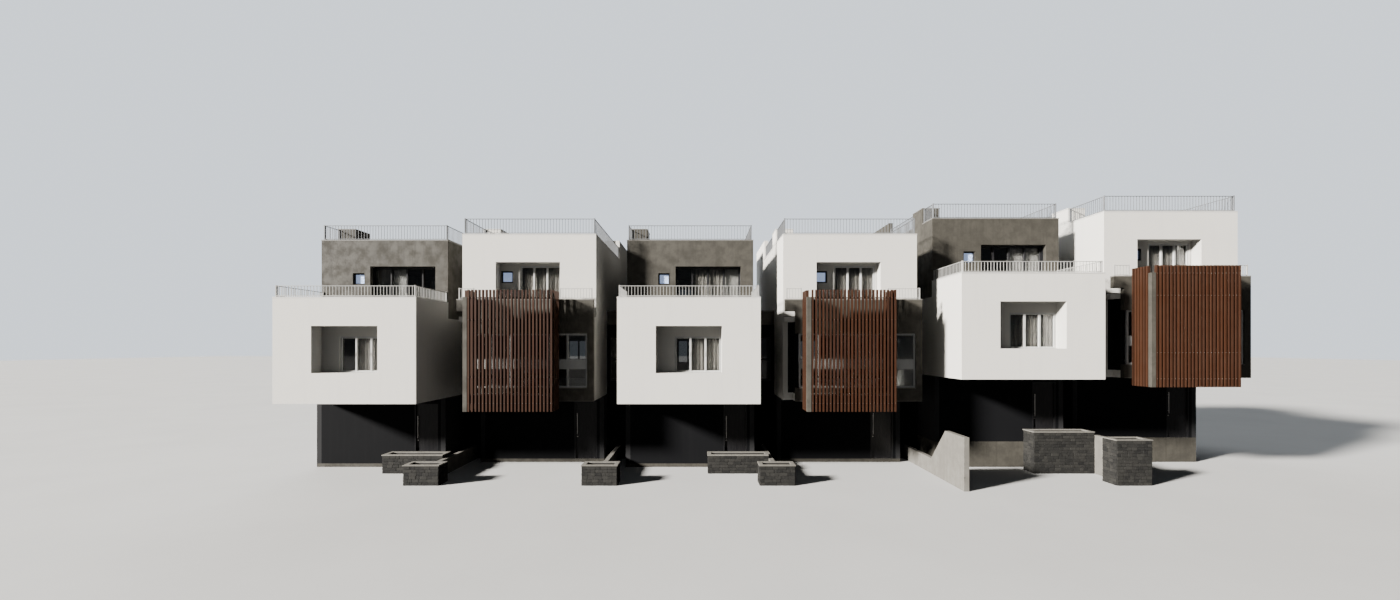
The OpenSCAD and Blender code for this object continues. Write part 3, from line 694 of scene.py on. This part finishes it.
B_WIDE = Window(GLAZING_LEFT, B_FRONT_Y + FRAME_IN, BAND_LOW, GLAZING_RIGHT - GLAZING_LEFT,
                BAND_HIGH - BAND_LOW, 6, WIDE_BAR, TRANSOM_Z, TRANSOM_H)
LINK_WINDOW = Window(-LINK_WINDOW_W / 2, LINK_Y + FRAME_IN, LINK_WINDOW_Z, LINK_WINDOW_W, LINK_WINDOW_H,
                     1, SLIM_BAR, LINK_WINDOW_Z + LINK_PANE_H, WIDE_BAR)
REAR_WINDOWS = [Window(-NICHE_WINDOW_W / 2, DEPTH - WALL_T + FRAME_IN, floor + NICHE_Z - FLOOR_1,
                       NICHE_WINDOW_W, NICHE_WINDOW_H, 3, WIDE_BAR) for floor in (FLOOR_0, FLOOR_1, FLOOR_2)]
SASH_W = 0.014
SASH_IN = 0.036
SEAL_W = 0.007
SEAL_T = 0.014
REAR_SASH_T = 0.026
REAR_SEAL_T = 0.012


def pane_step(window):
    """The way from one pane of a window to the next, a pane and a bar."""
    return pane_width(window) + window.bar


def pane_width(window):
    return (window.w - window.bar * (window.panes + 1)) / window.panes


def pane_rows(window):
    """Low and high level of each row of openings in a window's frame."""
    low, high = window.z + window.bar, window.z + window.h - window.bar
    if window.rail_h:
        return [(low, window.rail_z), (window.rail_z + window.rail_h, high)]
    return [(low, high)]


def pane_rings(window, y_0, y_1, width, out):
    """A ring round every opening of a window, from y_0 to y_1, that reaches over the bars by out."""
    rings = []
    for low, high in pane_rows(window):
        model = ring((window.x + window.bar - out, y_0, low - out), pane_width(window) + 2 * out,
                     high - low + 2 * out, width + out, y_1 - y_0, FINE_EDGE)
        rings += repeated([model], [(pane * pane_step(window), 0, 0) for pane in range(window.panes)])
    return rings


def make_windows():
    """Sashes and seals in the fronts and links, and on the inside of the rear windows."""
    white, dark, seals = [], [], []
    seal_out = CLEAR - SASH_W
    for window, places, finish in (
            (NICHE_WINDOW, A_PLACES, white), (A_DOORS, A_PLACES, dark), (A_SMALL, A_PLACES, dark),
            (B_DOORS, B_PLACES, white), (B_SMALL, B_PLACES, dark), (B_WIDE, B_PLACES, white),
            (LINK_WINDOW, LINK_PLACES, dark)):
        back = window.y + FRAME_D - CLEAR
        finish += repeated(pane_rings(window, window.y + SASH_IN, back, SASH_W, 0), places)
        seals += repeated(pane_rings(window, back - SEAL_T, back, SASH_W + SEAL_W, seal_out), places)
    for window in REAR_WINDOWS:
        glass_back = window.y + FRAME_D + GLASS_T
        white += repeated(pane_rings(window, glass_back + CLEAR, glass_back + REAR_SASH_T, SASH_W,
                                     window.bar / 2 - CLEAR), PLACES)
        seals += repeated(pane_rings(window, glass_back + CLEAR, glass_back + REAR_SEAL_T, SASH_W + SEAL_W,
                                     seal_out), PLACES)
    finish_piece("white_window_sashes", white, "frame_white")
    finish_piece("dark_window_sashes", dark, "frame_dark")
    finish_piece("window_seals", seals, "rubber_seal")


def make_frosted_panes():
    """Frosted glass behind the small square windows."""
    rim, thickness = 0.004, 0.007
    panes = []
    for window, places in ((A_SMALL, A_PLACES), (B_SMALL, B_PLACES)):
        back = window.y + FRAME_D + GLASS_T
        pane = block((window.x + rim, back + CLEAR, window.z + rim),
                     (window.x + window.w - rim, back + thickness, window.z + window.h - rim), SHEET_EDGE)
        panes += repeated([pane], places)
    finish_piece("frosted_panes", panes, "frosted_glass")


def lever(x, y, z):
    """A plate with a turned-down lever, on a frame's bar whose face is at y."""
    return [block((x - 0.014, y - 0.006, z - 0.07), (x + 0.014, y + 0.001, z + 0.07), PLATE_EDGE),
            knob((x, y - 0.022, z + 0.03), (0, -1, 0), 0.008, 0.034, 10),
            block((x - 0.009, y - 0.046, z - 0.10), (x + 0.009, y - 0.034, z + 0.042))]


def make_handles():
    """Levers on the bars between the panes that open."""
    parts = []
    for window, bars, places in (
            (NICHE_WINDOW, (1, 2), A_PLACES), (A_DOORS, (2,), A_PLACES), (B_DOORS, (1, 2), B_PLACES)):
        for bar in bars:
            x = window.x + bar * pane_step(window) + window.bar / 2
            parts += repeated(lever(x, window.y, window.z + min(window.h / 2, HANDLE_Z)), places)
    finish_piece("window_handles", parts, "bare_steel")


def sill(window, out):
    """A pressed sill below a window with a turned-down lip, reaching out in front of its frame."""
    front, right, top = window.y - out, window.x + window.w, window.z + 0.005
    return [block((window.x, front, window.z - 0.002), (right, window.y + 0.02, top), FINE_EDGE),
            block((window.x, front - 0.003, window.z - 0.03), (right, front + 0.003, top), FINE_EDGE)]


def make_sills():
    """Pressed sills outside the link and wide windows, boards in the niches and behind the rear windows."""
    finish_piece("link_window_sills", repeated(sill(LINK_WINDOW, FRAME_IN + 0.02), LINK_PLACES),
                 "frame_dark")
    finish_piece("wide_window_sills", repeated(sill(B_WIDE, FRAME_IN + 0.015), B_PLACES),
                 "grey_coping")
    board = block((NICHE_WINDOW.x, NICHE_D - 0.03, NICHE_Z),
                  (NICHE_W / 2, NICHE_WINDOW.y + 0.02, NICHE_Z + 0.018))
    finish_piece("niche_sill_boards", repeated([board], A_PLACES), "frame_white")
    boards = []
    for window in REAR_WINDOWS:
        back = window.y + FRAME_D + GLASS_T
        board = block((window.x, back, window.z - 0.002),
                      (window.x + window.w, DEPTH - 0.001, window.z + 0.012), PLATE_EDGE)
        boards += repeated([board], PLACES)
    finish_piece("rear_sill_boards", boards, "frame_white")


def make_tracks():
    """Threshold rails at the foot of the terrace doors, and stone sills in front of them."""
    rails, stones = [], []
    rnd = random.Random(11)
    for window, front, places in ((A_DOORS, A_TOP_Y, A_PLACES), (B_DOORS, B_TOP_Y + RECESS_D, B_PLACES)):
        left, right, top = window.x, window.x + window.w, window.z + 0.042
        track = [block((left, window.y - 0.045, window.z + 0.002), (right, window.y, top - 0.01), SHEET_EDGE)]
        for out in (0.008, 0.024, 0.040):
            track.append(block((left, window.y - out - 0.004, top - 0.012), (right, window.y - out, top),
                               SHEET_EDGE))
        rails += repeated(track, places)
        for place in places:
            stone = block((left + 0.002, front + 0.002, window.z + 0.002),
                          (right - 0.002, window.y - 0.046, top - 0.006))
            stones += [toned(part, rnd) for part in repeated([stone], [place])]
    finish_piece("terrace_door_tracks", rails, "bare_steel")
    finish_piece("terrace_door_sills", stones, "terrace_slabs")


# Curtains and blinds behind the windows

CLOTH_BACK = 0.15
CURTAIN_RAIL_R = 0.012
CURTAIN_RAIL_UP = 0.02
PLEAT_W = 0.16

# House, counted from 0, name, window, and first and last pane that a cloth covers, on one rail a window
CLOTHS = [
    (0, "niche_curtain", NICHE_WINDOW, 1, 2), (2, "niche_curtain", NICHE_WINDOW, 1, 2),
    (4, "niche_curtain", NICHE_WINDOW, 0, 2),
    (0, "terrace_blind_left", A_DOORS, 0, 0), (0, "terrace_blind_right", A_DOORS, 1, 1),
    (2, "terrace_curtain", A_DOORS, 1, 2), (2, "terrace_blind_right", A_DOORS, 3, 3),
    (4, "terrace_blind_left", A_DOORS, 2, 2), (4, "terrace_blind_right", A_DOORS, 3, 3),
    (1, "terrace_curtain", B_DOORS, 0, 2), (3, "terrace_curtain", B_DOORS, 0, 2),
    (5, "terrace_curtain", B_DOORS, 0, 2),
]


def cloth(name, low, width, height, material, pleat):
    """A hung cloth from its lowest left corner on, in pleats that open a little towards the hem."""
    deselect()
    pleats = max(1, round(width / PLEAT_W))
    bpy.ops.mesh.primitive_grid_add(x_subdivisions=pleats * 10, y_subdivisions=12, size=1, calc_uvs=True)
    piece = bpy.context.object
    rnd = random.Random(name)
    lean = [rnd.uniform(-0.15, 0.15) for _ in range(pleats + 1)]
    for vertex in piece.data.vertices:
        across, down = vertex.co.x + 0.5, 0.5 - vertex.co.y
        phase = lean[int(across * pleats)] * down * math.sin(math.pi * (across * pleats % 1.0))
        wave = math.sin(2 * math.pi * across * pleats + phase)
        fold = pleat * (0.8 + 0.3 * down) * wave
        vertex.co = Vector((low.x + across * width, low.y + fold, low.z + height * (1 - down)))
    piece = finish_piece(name, [piece], material)
    piece.data.shade_smooth()


def pane_span(window, first, last):
    """Left and right end of a cloth that covers a window's panes from first to last, counted from 0."""
    start, step = window.x + window.bar / 2, pane_step(window)
    return start + first * step + 0.01, start + (last + 1) * step - 0.01


def make_curtain_rails():
    """A rail with two end knobs behind each window that may have a cloth."""
    rails = []
    for window, places in ((NICHE_WINDOW, A_PLACES), (A_DOORS, A_PLACES), (B_DOORS, B_PLACES)):
        top = window.z + window.h + CURTAIN_RAIL_UP
        centre = Vector((window.x + window.w / 2, window.y + CLOTH_BACK, top))
        rail = [knob(centre, (1, 0, 0), CURTAIN_RAIL_R, window.w)]
        for side in (-1, 1):
            end = centre + Vector((side * window.w / 2, 0, 0))
            rail.append(knob(end, (1, 0, 0), CURTAIN_RAIL_R * 1.7, 0.03, 16))
        rails += repeated(rail, places)
    finish_piece("curtain_rails", rails, "bare_steel")


def make_cloths():
    """Curtains in pleats, and flat blinds with a weight in their hem."""
    weights = []
    for house, title, window, first, last in CLOTHS:
        blind = "blind" in title
        left, right = pane_span(window, first, last)
        foot = window.z + (0.05 if window.z == FLOOR_2 else -0.10)
        height = window.z + window.h + CURTAIN_RAIL_UP - foot
        low = PLACES[house] + Vector((left, window.y + CLOTH_BACK, foot))
        cloth(f"{title}_house_{house + 1}", low, right - left, height,
              "blind_cloth" if blind else "curtain_cloth", 0.002 if blind else 0.016)
        if blind:
            weights.append(block(low + Vector((0, -0.008, -0.004)),
                                 low + Vector((right - left, 0.008, 0.022)), CAP_EDGE))
    finish_piece("blind_weights", weights, "bare_steel")


# Copings, caps, drips and the floors of terraces and roofs

CAP_OUT = 0.008
CAP_SKIRT = 0.04
CAP_TOP = 0.006
CAP_GAP = 0.009
SHAFT_CAP_OUT = 0.012


def coping(place, low, high, z):
    """A thin pressed cap over a stretch of wall, a little proud of it, kept inside the row's ends."""
    left = max(place.x + low[0] - CAP_OUT, -ROW_END)
    right = min(place.x + high[0] + CAP_OUT, ROW_END)
    return block((left, place.y + low[1] - CAP_OUT, place.z + z - CAP_SKIRT),
                 (right, place.y + high[1] + CAP_OUT, place.z + z + CAP_TOP), PLATE_EDGE)


def shaft_cap(half):
    """The cap of a roof shaft on the left wall of a house of the given half width."""
    out = SHAFT_CAP_OUT
    return block((-half - out, SHAFT_Y - out, SHAFT_Z - 0.03),
                 (-half + SHAFT_W + out, SHAFT_Y + SHAFT_L + out, SHAFT_Z + out), CAP_EDGE)


def make_copings():
    """Caps on the walls of roofs and terraces, on the roof shafts and on the kerbs of the links."""
    white, grey = [], []
    for house, place in enumerate(PLACES):
        roof, front = (white, grey) if is_b(house) else (grey, white)
        half, y, z = top_half(house), top_y(house), top_z(house)
        in_y, court_y = y + WALL_T, COURT_Y - CAP_GAP
        for low, high in (((-half, y), (half, in_y)), ((half - WALL_T, in_y), (half, court_y)),
                          ((-half, in_y), (-half + WALL_T, SHAFT_Y - CAP_GAP)),
                          ((-half, SHAFT_Y + SHAFT_L + CAP_GAP), (-half + WALL_T, court_y))):
            roof.append(coping(place, low, high, z))
        if is_b(house):
            front.append(coping(place, (-HALF, B_FRONT_Y), (HALF, B_FRONT_Y + WALL_T), PARAPET_Z))
        else:
            front.append(coping(place, (-HALF, 0), (HALF, WALL_T), PARAPET_Z))
            for side in (-HALF, HALF - WALL_T):
                front.append(coping(place, (side, WALL_T), (side + WALL_T, A_TOP_Y - CAP_GAP), PARAPET_Z))
        inside = Vector((max(0.0, -ROW_END - (place.x - half - SHAFT_CAP_OUT)), 0, 0))
        roof += repeated([shaft_cap(half)], [place + inside])
    edge, kerb_z = GAP_W / 2 - CLEAR, LINK_ROOF_Z + KERB_H
    for place in LINK_PLACES:
        grey.append(block(place + Vector((-edge, LINK_Y - CAP_OUT, kerb_z - CAP_SKIRT)),
                          place + Vector((edge, LINK_Y + KERB_T + CAP_OUT, kerb_z + CAP_TOP)), PLATE_EDGE))
    finish_piece("white_copings", white, "white_coping")
    finish_piece("grey_copings", grey, "grey_coping")


def drip_bead(left, right, front, z, up=0.016):
    """A stop bead along a lower front edge."""
    return block((left, front - 0.004, z - 0.004), (right, front + 0.008, z + up), FINE_EDGE)


def make_drips():
    """Stop beads along the lower front edges of the overhanging fronts and over the recesses."""
    end = HALF - 0.003
    white = repeated([drip_bead(-end, end, 0, SOFFIT)], A_PLACES)
    over_recess = drip_bead(RECESS_X, RECESS_X + RECESS_W, B_TOP_Y, FLOOR_2 + RECESS_H, 0.014)
    white += repeated([over_recess], B_PLACES)
    finish_piece("white_drip_beads", white, "white_coping")
    grey = repeated([drip_bead(-HALF + NOTCH_W, end, B_FRONT_Y, SOFFIT)], B_PLACES)
    finish_piece("grey_drip_beads", grey, "grey_coping")


def slab_field(low, high, z, size, rnd, shut=()):
    """Equal slabs with open joints over a floor between two corners, apart from its shut places."""
    joint, top = 0.003, 0.033
    across, along = round((high[0] - low[0]) / size), round((high[1] - low[1]) / size)
    w, d = (high[0] - low[0]) / across, (high[1] - low[1]) / along
    model = block((joint, joint, z + joint), (w - joint, d - joint, z + top))
    shifts = []
    for i in range(across):
        for j in range(along):
            x, y = low[0] + i * w, low[1] + j * d
            if not any(x < s[2] and x + w > s[0] and y < s[3] and y + d > s[1] for s in shut):
                shifts.append((x, y, 0))
    return [toned(slab, rnd) for slab in repeated([model], shifts)]


def make_terrace_slabs(rnd):
    """Slabs on the terraces of A, and on the terrace, in the recess and on the balcony of B."""
    inner = HALF - WALL_T
    slabs = repeated(slab_field((-inner, WALL_T), (inner, A_TOP_Y), FLOOR_2, 0.6, rnd), A_PLACES)
    fields = []
    for low, high, z, size in (
            ((-HALF, B_FRONT_Y + WALL_T), (HALF, B_TOP_Y), FLOOR_2, 0.34),
            ((RECESS_X, B_TOP_Y), (RECESS_X + RECESS_W, B_TOP_Y + RECESS_D), FLOOR_2, 0.45),
            ((SCREEN_X + CORNER_POST_W, CORNER_POST_W), (SCREEN_X + SCREEN_W - CORNER_POST_W, B_FRONT_Y),
             FLOOR_1, 0.42)):
        fields += slab_field(low, high, z, size, rnd)
    slabs += repeated(fields, B_PLACES)
    finish_piece("terrace_floor_slabs", slabs, "terrace_slabs")


def make_roof_slabs(rnd):
    """Slabs on the roof decks, apart from the places of the shafts."""
    roofs = []
    for house, places in ((0, A_PLACES), (1, B_PLACES)):
        clear = top_half(house) - WALL_T
        shaft = (-clear, SHAFT_Y, -clear - WALL_T + SHAFT_W, SHAFT_Y + SHAFT_L)
        rear = (clear - REAR_SHAFT_W, COURT_Y, clear, DEPTH)
        field = slab_field((-clear, top_y(house) + WALL_T), (clear, DEPTH - WALL_T), DECK, 0.5, rnd,
                           (shaft, rear) if is_b(house) else (shaft,))
        roofs += repeated(field, places)
    finish_piece("roof_deck_slabs", roofs, "terrace_slabs")


def make_slabs():
    rnd = random.Random(5)
    make_terrace_slabs(rnd)
    make_roof_slabs(rnd)


def make_link_roofing():
    """Roofing sheets with laps over the links."""
    start, count = LINK_Y + KERB_T, 8
    length = (DEPTH - start) / count
    edge, z = GAP_W / 2 - 0.002, LINK_ROOF_Z
    sheet = block((-edge, start + 0.002, z), (edge, start + length - 0.004, z + 0.006), SHEET_EDGE)
    lap = block((-edge, start + length - 0.09, z + 0.004), (edge, start + length - 0.003, z + 0.011),
                SHEET_EDGE)
    strips = in_row(merged([sheet, lap]), count, (0, length, 0))
    finish_piece("link_roofing", repeated([strips], LINK_PLACES), "roofing_felt")


# Slat screens and railings

def make_screen_fixings():
    """Screw heads where the slats meet their rails, and angles that hold the rails to the balcony."""
    count = slat_steps(SCREEN_RUN)
    first = SCREEN_X + CORNER_POST_W + (SCREEN_RUN - count * SLAT_STEP) / 2
    screws = []
    for z in (SOFFIT, FLOOR_1 + PARAPET_Z - FLOOR_2, CEILING_1, PARAPET_Z - RAIL_T):
        screw = knob((first, -0.002, z + RAIL_T / 2), (0, -1, 0), 0.009, 0.008, 8)
        screws.append(in_row(screw, count + 1, (SLAT_STEP, 0, 0)))
    finish_piece("slat_screws", repeated(screws, B_PLACES), "bare_steel")
    angles = []
    for x in (SCREEN_X + 0.6, SCREEN_X + SCREEN_W / 2, SCREEN_X + SCREEN_W - 0.6):
        angles.append(block((x - 0.04, CORNER_POST_W - RAIL_T, SOFFIT - 0.008),
                            (x + 0.04, CORNER_POST_W + 0.12, SOFFIT), PLATE_EDGE))
        for out in (0.04, 0.09):
            angles.append(knob((x, CORNER_POST_W + out, SOFFIT - 0.012), (0, 0, 1), 0.009, 0.012, 6))
    finish_piece("screen_brackets", repeated(angles, B_PLACES), "railing_steel")


def foot_plate(x, y, z):
    """A foot plate with two bolts round a railing post."""
    parts = [block((x - 0.05, y - 0.035, z), (x + 0.05, y + 0.035, z + 0.008), FINE_EDGE)]
    for side in (-1, 1):
        parts.append(knob((x + side * 0.036, y, z + 0.011), (0, 0, 1), 0.007, 0.010, 6))
    return parts


def make_rail_feet():
    """Foot plates under every railing post."""
    parts = []
    post, foot_up = POST_T / 2, 0.005
    for house, place in enumerate(PLACES):
        x, z = top_half(house) - RAIL_INSET - post, top_z(house) + foot_up
        front_y = top_y(house) + RAIL_INSET + post
        side_y = top_y(house) + RAIL_INSET + POST_T + LEAF_GAP + post + 0.04
        end_y = COURT_Y - LEAF_GAP - post
        spots = [(-x, front_y, z), (x, front_y, z), (x, side_y, z), (-x, side_y, z), (x, end_y, z),
                 (-x, SHAFT_Y - LEAF_GAP - post, z), (-x, SHAFT_Y + SHAFT_L + LEAF_GAP + post, z),
                 (-x, end_y, z)]
        x, z = HALF - RAIL_INSET - post, PARAPET_Z + foot_up
        if is_b(house):
            y = B_FRONT_Y + RAIL_INSET + post
            spots += [(-x, y, z), (SCREEN_X - LEAF_GAP - post, y, z),
                      (SCREEN_X + SCREEN_W + LEAF_GAP + post, y, z), (x, y, z)]
        else:
            y, back_y = RAIL_INSET + post, A_TOP_Y - LEAF_GAP - post
            spots += [(-x, y, z), (x, y, z), (-x, back_y, z), (x, back_y, z)]
        parts += repeated([part for spot in spots for part in foot_plate(*spot)], [place])
    finish_piece("railing_feet", parts, "railing_steel")


# Front doors

def leaf_boards(left, face):
    """Upright boards on the street side of a leaf."""
    inset, count = 0.012, 5
    board_w = (LEAF_W - 2 * inset) / count
    foot = FLOOR_0 + LEAF_GAP
    board = block((left + inset + 0.002, face - 0.006, foot + inset),
                  (left + inset + board_w - 0.002, face + 0.002, foot + LEAF_H - inset), FINE_EDGE)
    return in_row(board, count, (board_w, 0, 0))


def leaf_fittings(x, face):
    """A sleeved pull bar with its stems and roses, and a lock."""
    middle, lock_z = FLOOR_0 + PULL_Z + PULL_L / 2, FLOOR_0 + LOCK_Z
    fittings = [knob((x, face - PULL_OFF, middle), (0, 0, 1), 0.0165, PULL_L + 0.006, 24, 0.15)]
    for end in (-1, 1):
        z = middle + end * (PULL_L / 2 - STEM_IN)
        fittings.append(knob((x, face - 0.022, z), (0, -1, 0), 0.0105, 0.034, 16))
        fittings.append(knob((x, face - 0.008, z), (0, -1, 0), 0.022, 0.006, 20))
    fittings.append(knob((x, face - 0.009, lock_z), (0, -1, 0), 0.026, 0.008, 24))
    fittings.append(knob((x, face - 0.014, lock_z), (0, -1, 0), 0.009, 0.006, 16))
    return fittings


def make_doors():
    """On each leaf boards, a lock and a sleeved pull bar; in each frame a threshold and seals."""
    thresholds, seals = [], []
    left = DOOR_RIGHT - DOOR_FRAME_W - LEAF_GAP - LEAF_W
    low_x, high_x = DOOR_RIGHT - DOOR_W + DOOR_FRAME_W, DOOR_RIGHT - DOOR_FRAME_W
    for house, place in enumerate(PLACES):
        body = f"door_{house + 1}"
        face = ground_y(house) + DOOR_FRAME_D - LEAF_T
        finish_piece(f"door_boards_{house + 1}", repeated([leaf_boards(left, face)], [place]),
                     "door_dark", body)
        finish_piece(f"door_fittings_{house + 1}", repeated(leaf_fittings(left + PULL_IN, face), [place]),
                     "bare_steel", body)
        threshold = block((low_x, ground_y(house) - 0.01, FLOOR_0), (high_x, face - 0.012, FLOOR_0 + 0.004),
                          SHEET_EDGE)
        thresholds += repeated([threshold], [place])
        strips = []
        for x_0, x_1 in ((low_x - 0.002, low_x + 0.003), (high_x - 0.003, high_x + 0.002)):
            strips.append(block((x_0, face - 0.018, FLOOR_0 + 0.01),
                                (x_1, face - 0.010, FLOOR_0 + DOOR_H - DOOR_FRAME_W), SHEET_EDGE))
        seals += repeated(strips, [place])
    finish_piece("door_thresholds", thresholds, "bare_steel")
    finish_piece("door_seals", seals, "rubber_seal")


# Planters

def unit_stones():
    """A few rough stones of size 1, which all others are copied from."""
    rnd = random.Random(3)
    stones = []
    for _ in range(5):
        stone = block((0, 0, 0), (1, 1, 1), 0.09)
        for vertex in stone.data.vertices:
            vertex.co += Vector([rnd.uniform(-0.03, 0.03) for _ in range(3)])
        stones.append(stone)
    return stones


def stone_face(stones, rnd, corner, along, out, length, top):
    """Courses of stones on an upright face from the ground up, from a corner along a direction."""
    joint = 0.004
    made = []
    courses = max(1, round(top / 0.115))
    course_h = top / courses
    for course in range(courses):
        at = 0.0
        while at < length - 0.001:
            w = rnd.uniform(0.14, 0.34)
            if length - at - w < 0.12:
                w = length - at
            proud = rnd.uniform(0.012, 0.024)
            start = corner + along * (at + joint) - out * joint
            size = along * (w - 2 * joint) + out * (joint + proud) + Vector((0, 0, course_h - 2 * joint))
            start.z = course * course_h + joint
            base = Vector([min(start[k], start[k] + size[k]) for k in range(3)])
            made.append(toned(twin(rnd.choice(stones), base, [abs(v) for v in size]), rnd))
            at += w
    return made


def planter_facing(stones, rnd, low, high, top, faces):
    """Stones on the open faces of a planter between two corners."""
    x_way, y_way = Vector((1, 0, 0)), Vector((0, 1, 0))
    made = []
    for face in faces:
        x, y, along, out, length = {
            "front": (low.x, low.y, x_way, -y_way, high.x - low.x),
            "back": (low.x, high.y, x_way, y_way, high.x - low.x),
            "left": (low.x, low.y, y_way, -x_way, high.y - low.y),
            "right": (high.x, low.y, y_way, x_way, high.y - low.y)}[face]
        made += stone_face(stones, rnd, Vector((x, y, 0)), along, out, length, top - 0.002)
    return made


def planter_caps(low, high, top, faces):
    """Four pale caps round a planter's trough, proud of its open faces."""
    over = {face: 0.03 if face in faces else 0.0 for face in ("front", "back", "left", "right")}
    inner, thickness = PLANTER_T + 0.01, 0.04
    left, right = low.x - over["left"], high.x + over["right"]
    side_y = (low.y + inner + 0.004, high.y - inner - 0.004)
    return [block((x_0, y_0, top), (x_1, y_1, top + thickness), 0.005) for x_0, x_1, y_0, y_1 in (
        (left, right, low.y - over["front"], low.y + inner),
        (left, right, high.y - inner, high.y + over["back"]),
        (left, low.x + inner, *side_y), (high.x - inner, right, *side_y))]


def planter_soil(rnd, low, high, top):
    """Soil in a planter's trough, heaped a little in the middle."""
    deselect()
    bpy.ops.mesh.primitive_grid_add(x_subdivisions=30, y_subdivisions=14, size=1)
    soil = bpy.context.object
    middle, size = (low + high) / 2, high - low - 2 * Vector((PLANTER_T, PLANTER_T, 0))
    for vertex in soil.data.vertices:
        x, y = vertex.co.x, vertex.co.y
        heap = 0.02 * math.cos(math.pi * x) * math.cos(math.pi * y)
        vertex.co = Vector((middle.x + x * size.x, middle.y + y * size.y,
                            top - 0.05 + heap + rnd.uniform(-0.006, 0.006)))
    return soil


def make_planters():
    """The facing, caps and soil of the planters between the driveways and beside the doors of A."""
    stones = unit_stones()
    rnd = random.Random(17)
    level_links = [place for gap, place in enumerate(LINK_PLACES) if lift(gap + 1) == lift(gap)]
    a_width = HALF + GAP_W / 2 - GARDEN_T / 2 - A_PLANTER_X
    spots = [(place, Vector((-PLANTER_W / 2, -PLANTER_D, 0)), PLANTER_W, ("front", "left", "right"))
             for place in level_links]
    spots += [(place, Vector((A_PLANTER_X, A_PLANTER_Y, 0)), a_width, ("front", "left", "back"))
              for place in A_PLACES]
    facing, caps, soils = [], [], []
    for place, corner, width, faces in spots:
        low, top = place + corner, place.z + PLANTER_H
        high = low + Vector((width, PLANTER_D, 0))
        facing += planter_facing(stones, rnd, low, high, top, faces)
        caps += planter_caps(low, high, top, faces)
        soils.append(planter_soil(rnd, low, high, top))
    for stone in stones:
        bpy.data.objects.remove(stone)
    finish_piece("planter_stones", facing, "walling_stone")
    finish_piece("planter_caps", caps, "pale_concrete")
    finish_piece("planter_soil", soils, "soil")


# Stage, light and camera

def make_stage():
    """A pale floor that the camera sees, and that bounces hardly any light onto the row."""
    deselect()
    bpy.ops.mesh.primitive_plane_add(size=FLOOR_SIZE, location=(0, 0, -0.002))
    floor = bpy.context.object
    bpy.ops.object.transform_apply(location=True, rotation=True, scale=True)
    floor.name = "floor"
    tree, shader = start_material("pale_floor", Roughness=0.9)
    weather = weather_on(tree, 1.0, 0.2, 20.0)
    pale = mix(tree, weather["Blotches"], (0.70, 0.70, 0.69, 1), (0.67, 0.67, 0.66, 1))
    unseen = maths(tree, "SUBTRACT", 1.0, node(tree, "LightPath").outputs["Is Camera Ray"])
    paint(tree, shader, mix(tree, unseen, pale, (0.03, 0.03, 0.03, 1)))
    floor.data.materials.append(materials["pale_floor"])


SKY_STRENGTH = 0.06
SKY_SEEN_STRENGTH = 1.39


def make_light():
    """The key sun, a weak fill from the rear, and a sky that only the camera sees bright."""
    world = bpy.data.worlds.new("studio")
    bpy.context.scene.world = world
    world.use_nodes = True
    tree = world.node_tree
    background = tree.nodes["Background"]
    background.inputs["Color"].default_value = (0.80, 0.87, 0.95, 1)
    seen = node(tree, "LightPath").outputs["Is Camera Ray"]
    strength = maths(tree, "MULTIPLY_ADD", seen, SKY_SEEN_STRENGTH, SKY_STRENGTH)
    tree.links.new(strength, background.inputs["Strength"])
    for name, energy, spread_angle, colour, way in (
            ("key", 14.0, 6, (1.0, 0.96, 0.90), (1.0, 0.53, -0.44)),
            ("rear_fill", 2.2, 50, (0.90, 0.95, 1.0), (0.45, -1.0, -0.45))):
        data = bpy.data.lights.new(name, "SUN")
        data.energy = energy
        data.angle = math.radians(spread_angle)
        data.color = colour
        light = bpy.data.objects.new(name, data)
        light.visible_glossy = light.visible_transmission = name == "key"
        bpy.context.scene.collection.objects.link(light)
        light.rotation_euler = Vector(way).to_track_quat("-Z", "Y").to_euler()


def make_camera():
    data = bpy.data.cameras.new("photo_view")
    data.sensor_width = SENSOR_W
    data.lens = SENSOR_W * FOCAL_PX / IMAGE_W
    data.shift_y = HORIZON_BELOW_MIDDLE / IMAGE_W
    data.clip_end = VIEW_END
    camera = bpy.data.objects.new("photo_view", data)
    bpy.context.scene.collection.objects.link(camera)
    camera.location = EYE
    camera.rotation_euler = (math.radians(90), 0, 0)
    bpy.context.scene.camera = camera


make_wall_materials()
make_metal_materials()
make_opening_materials()
make_camera()
make_light()
make_stage()
dress_nodes()
make_windows()
make_frosted_panes()
make_handles()
make_sills()
make_tracks()
make_curtain_rails()
make_cloths()
make_copings()
make_drips()
make_slabs()
make_link_roofing()
make_screen_fixings()
make_rail_feet()
make_doors()
make_planters()
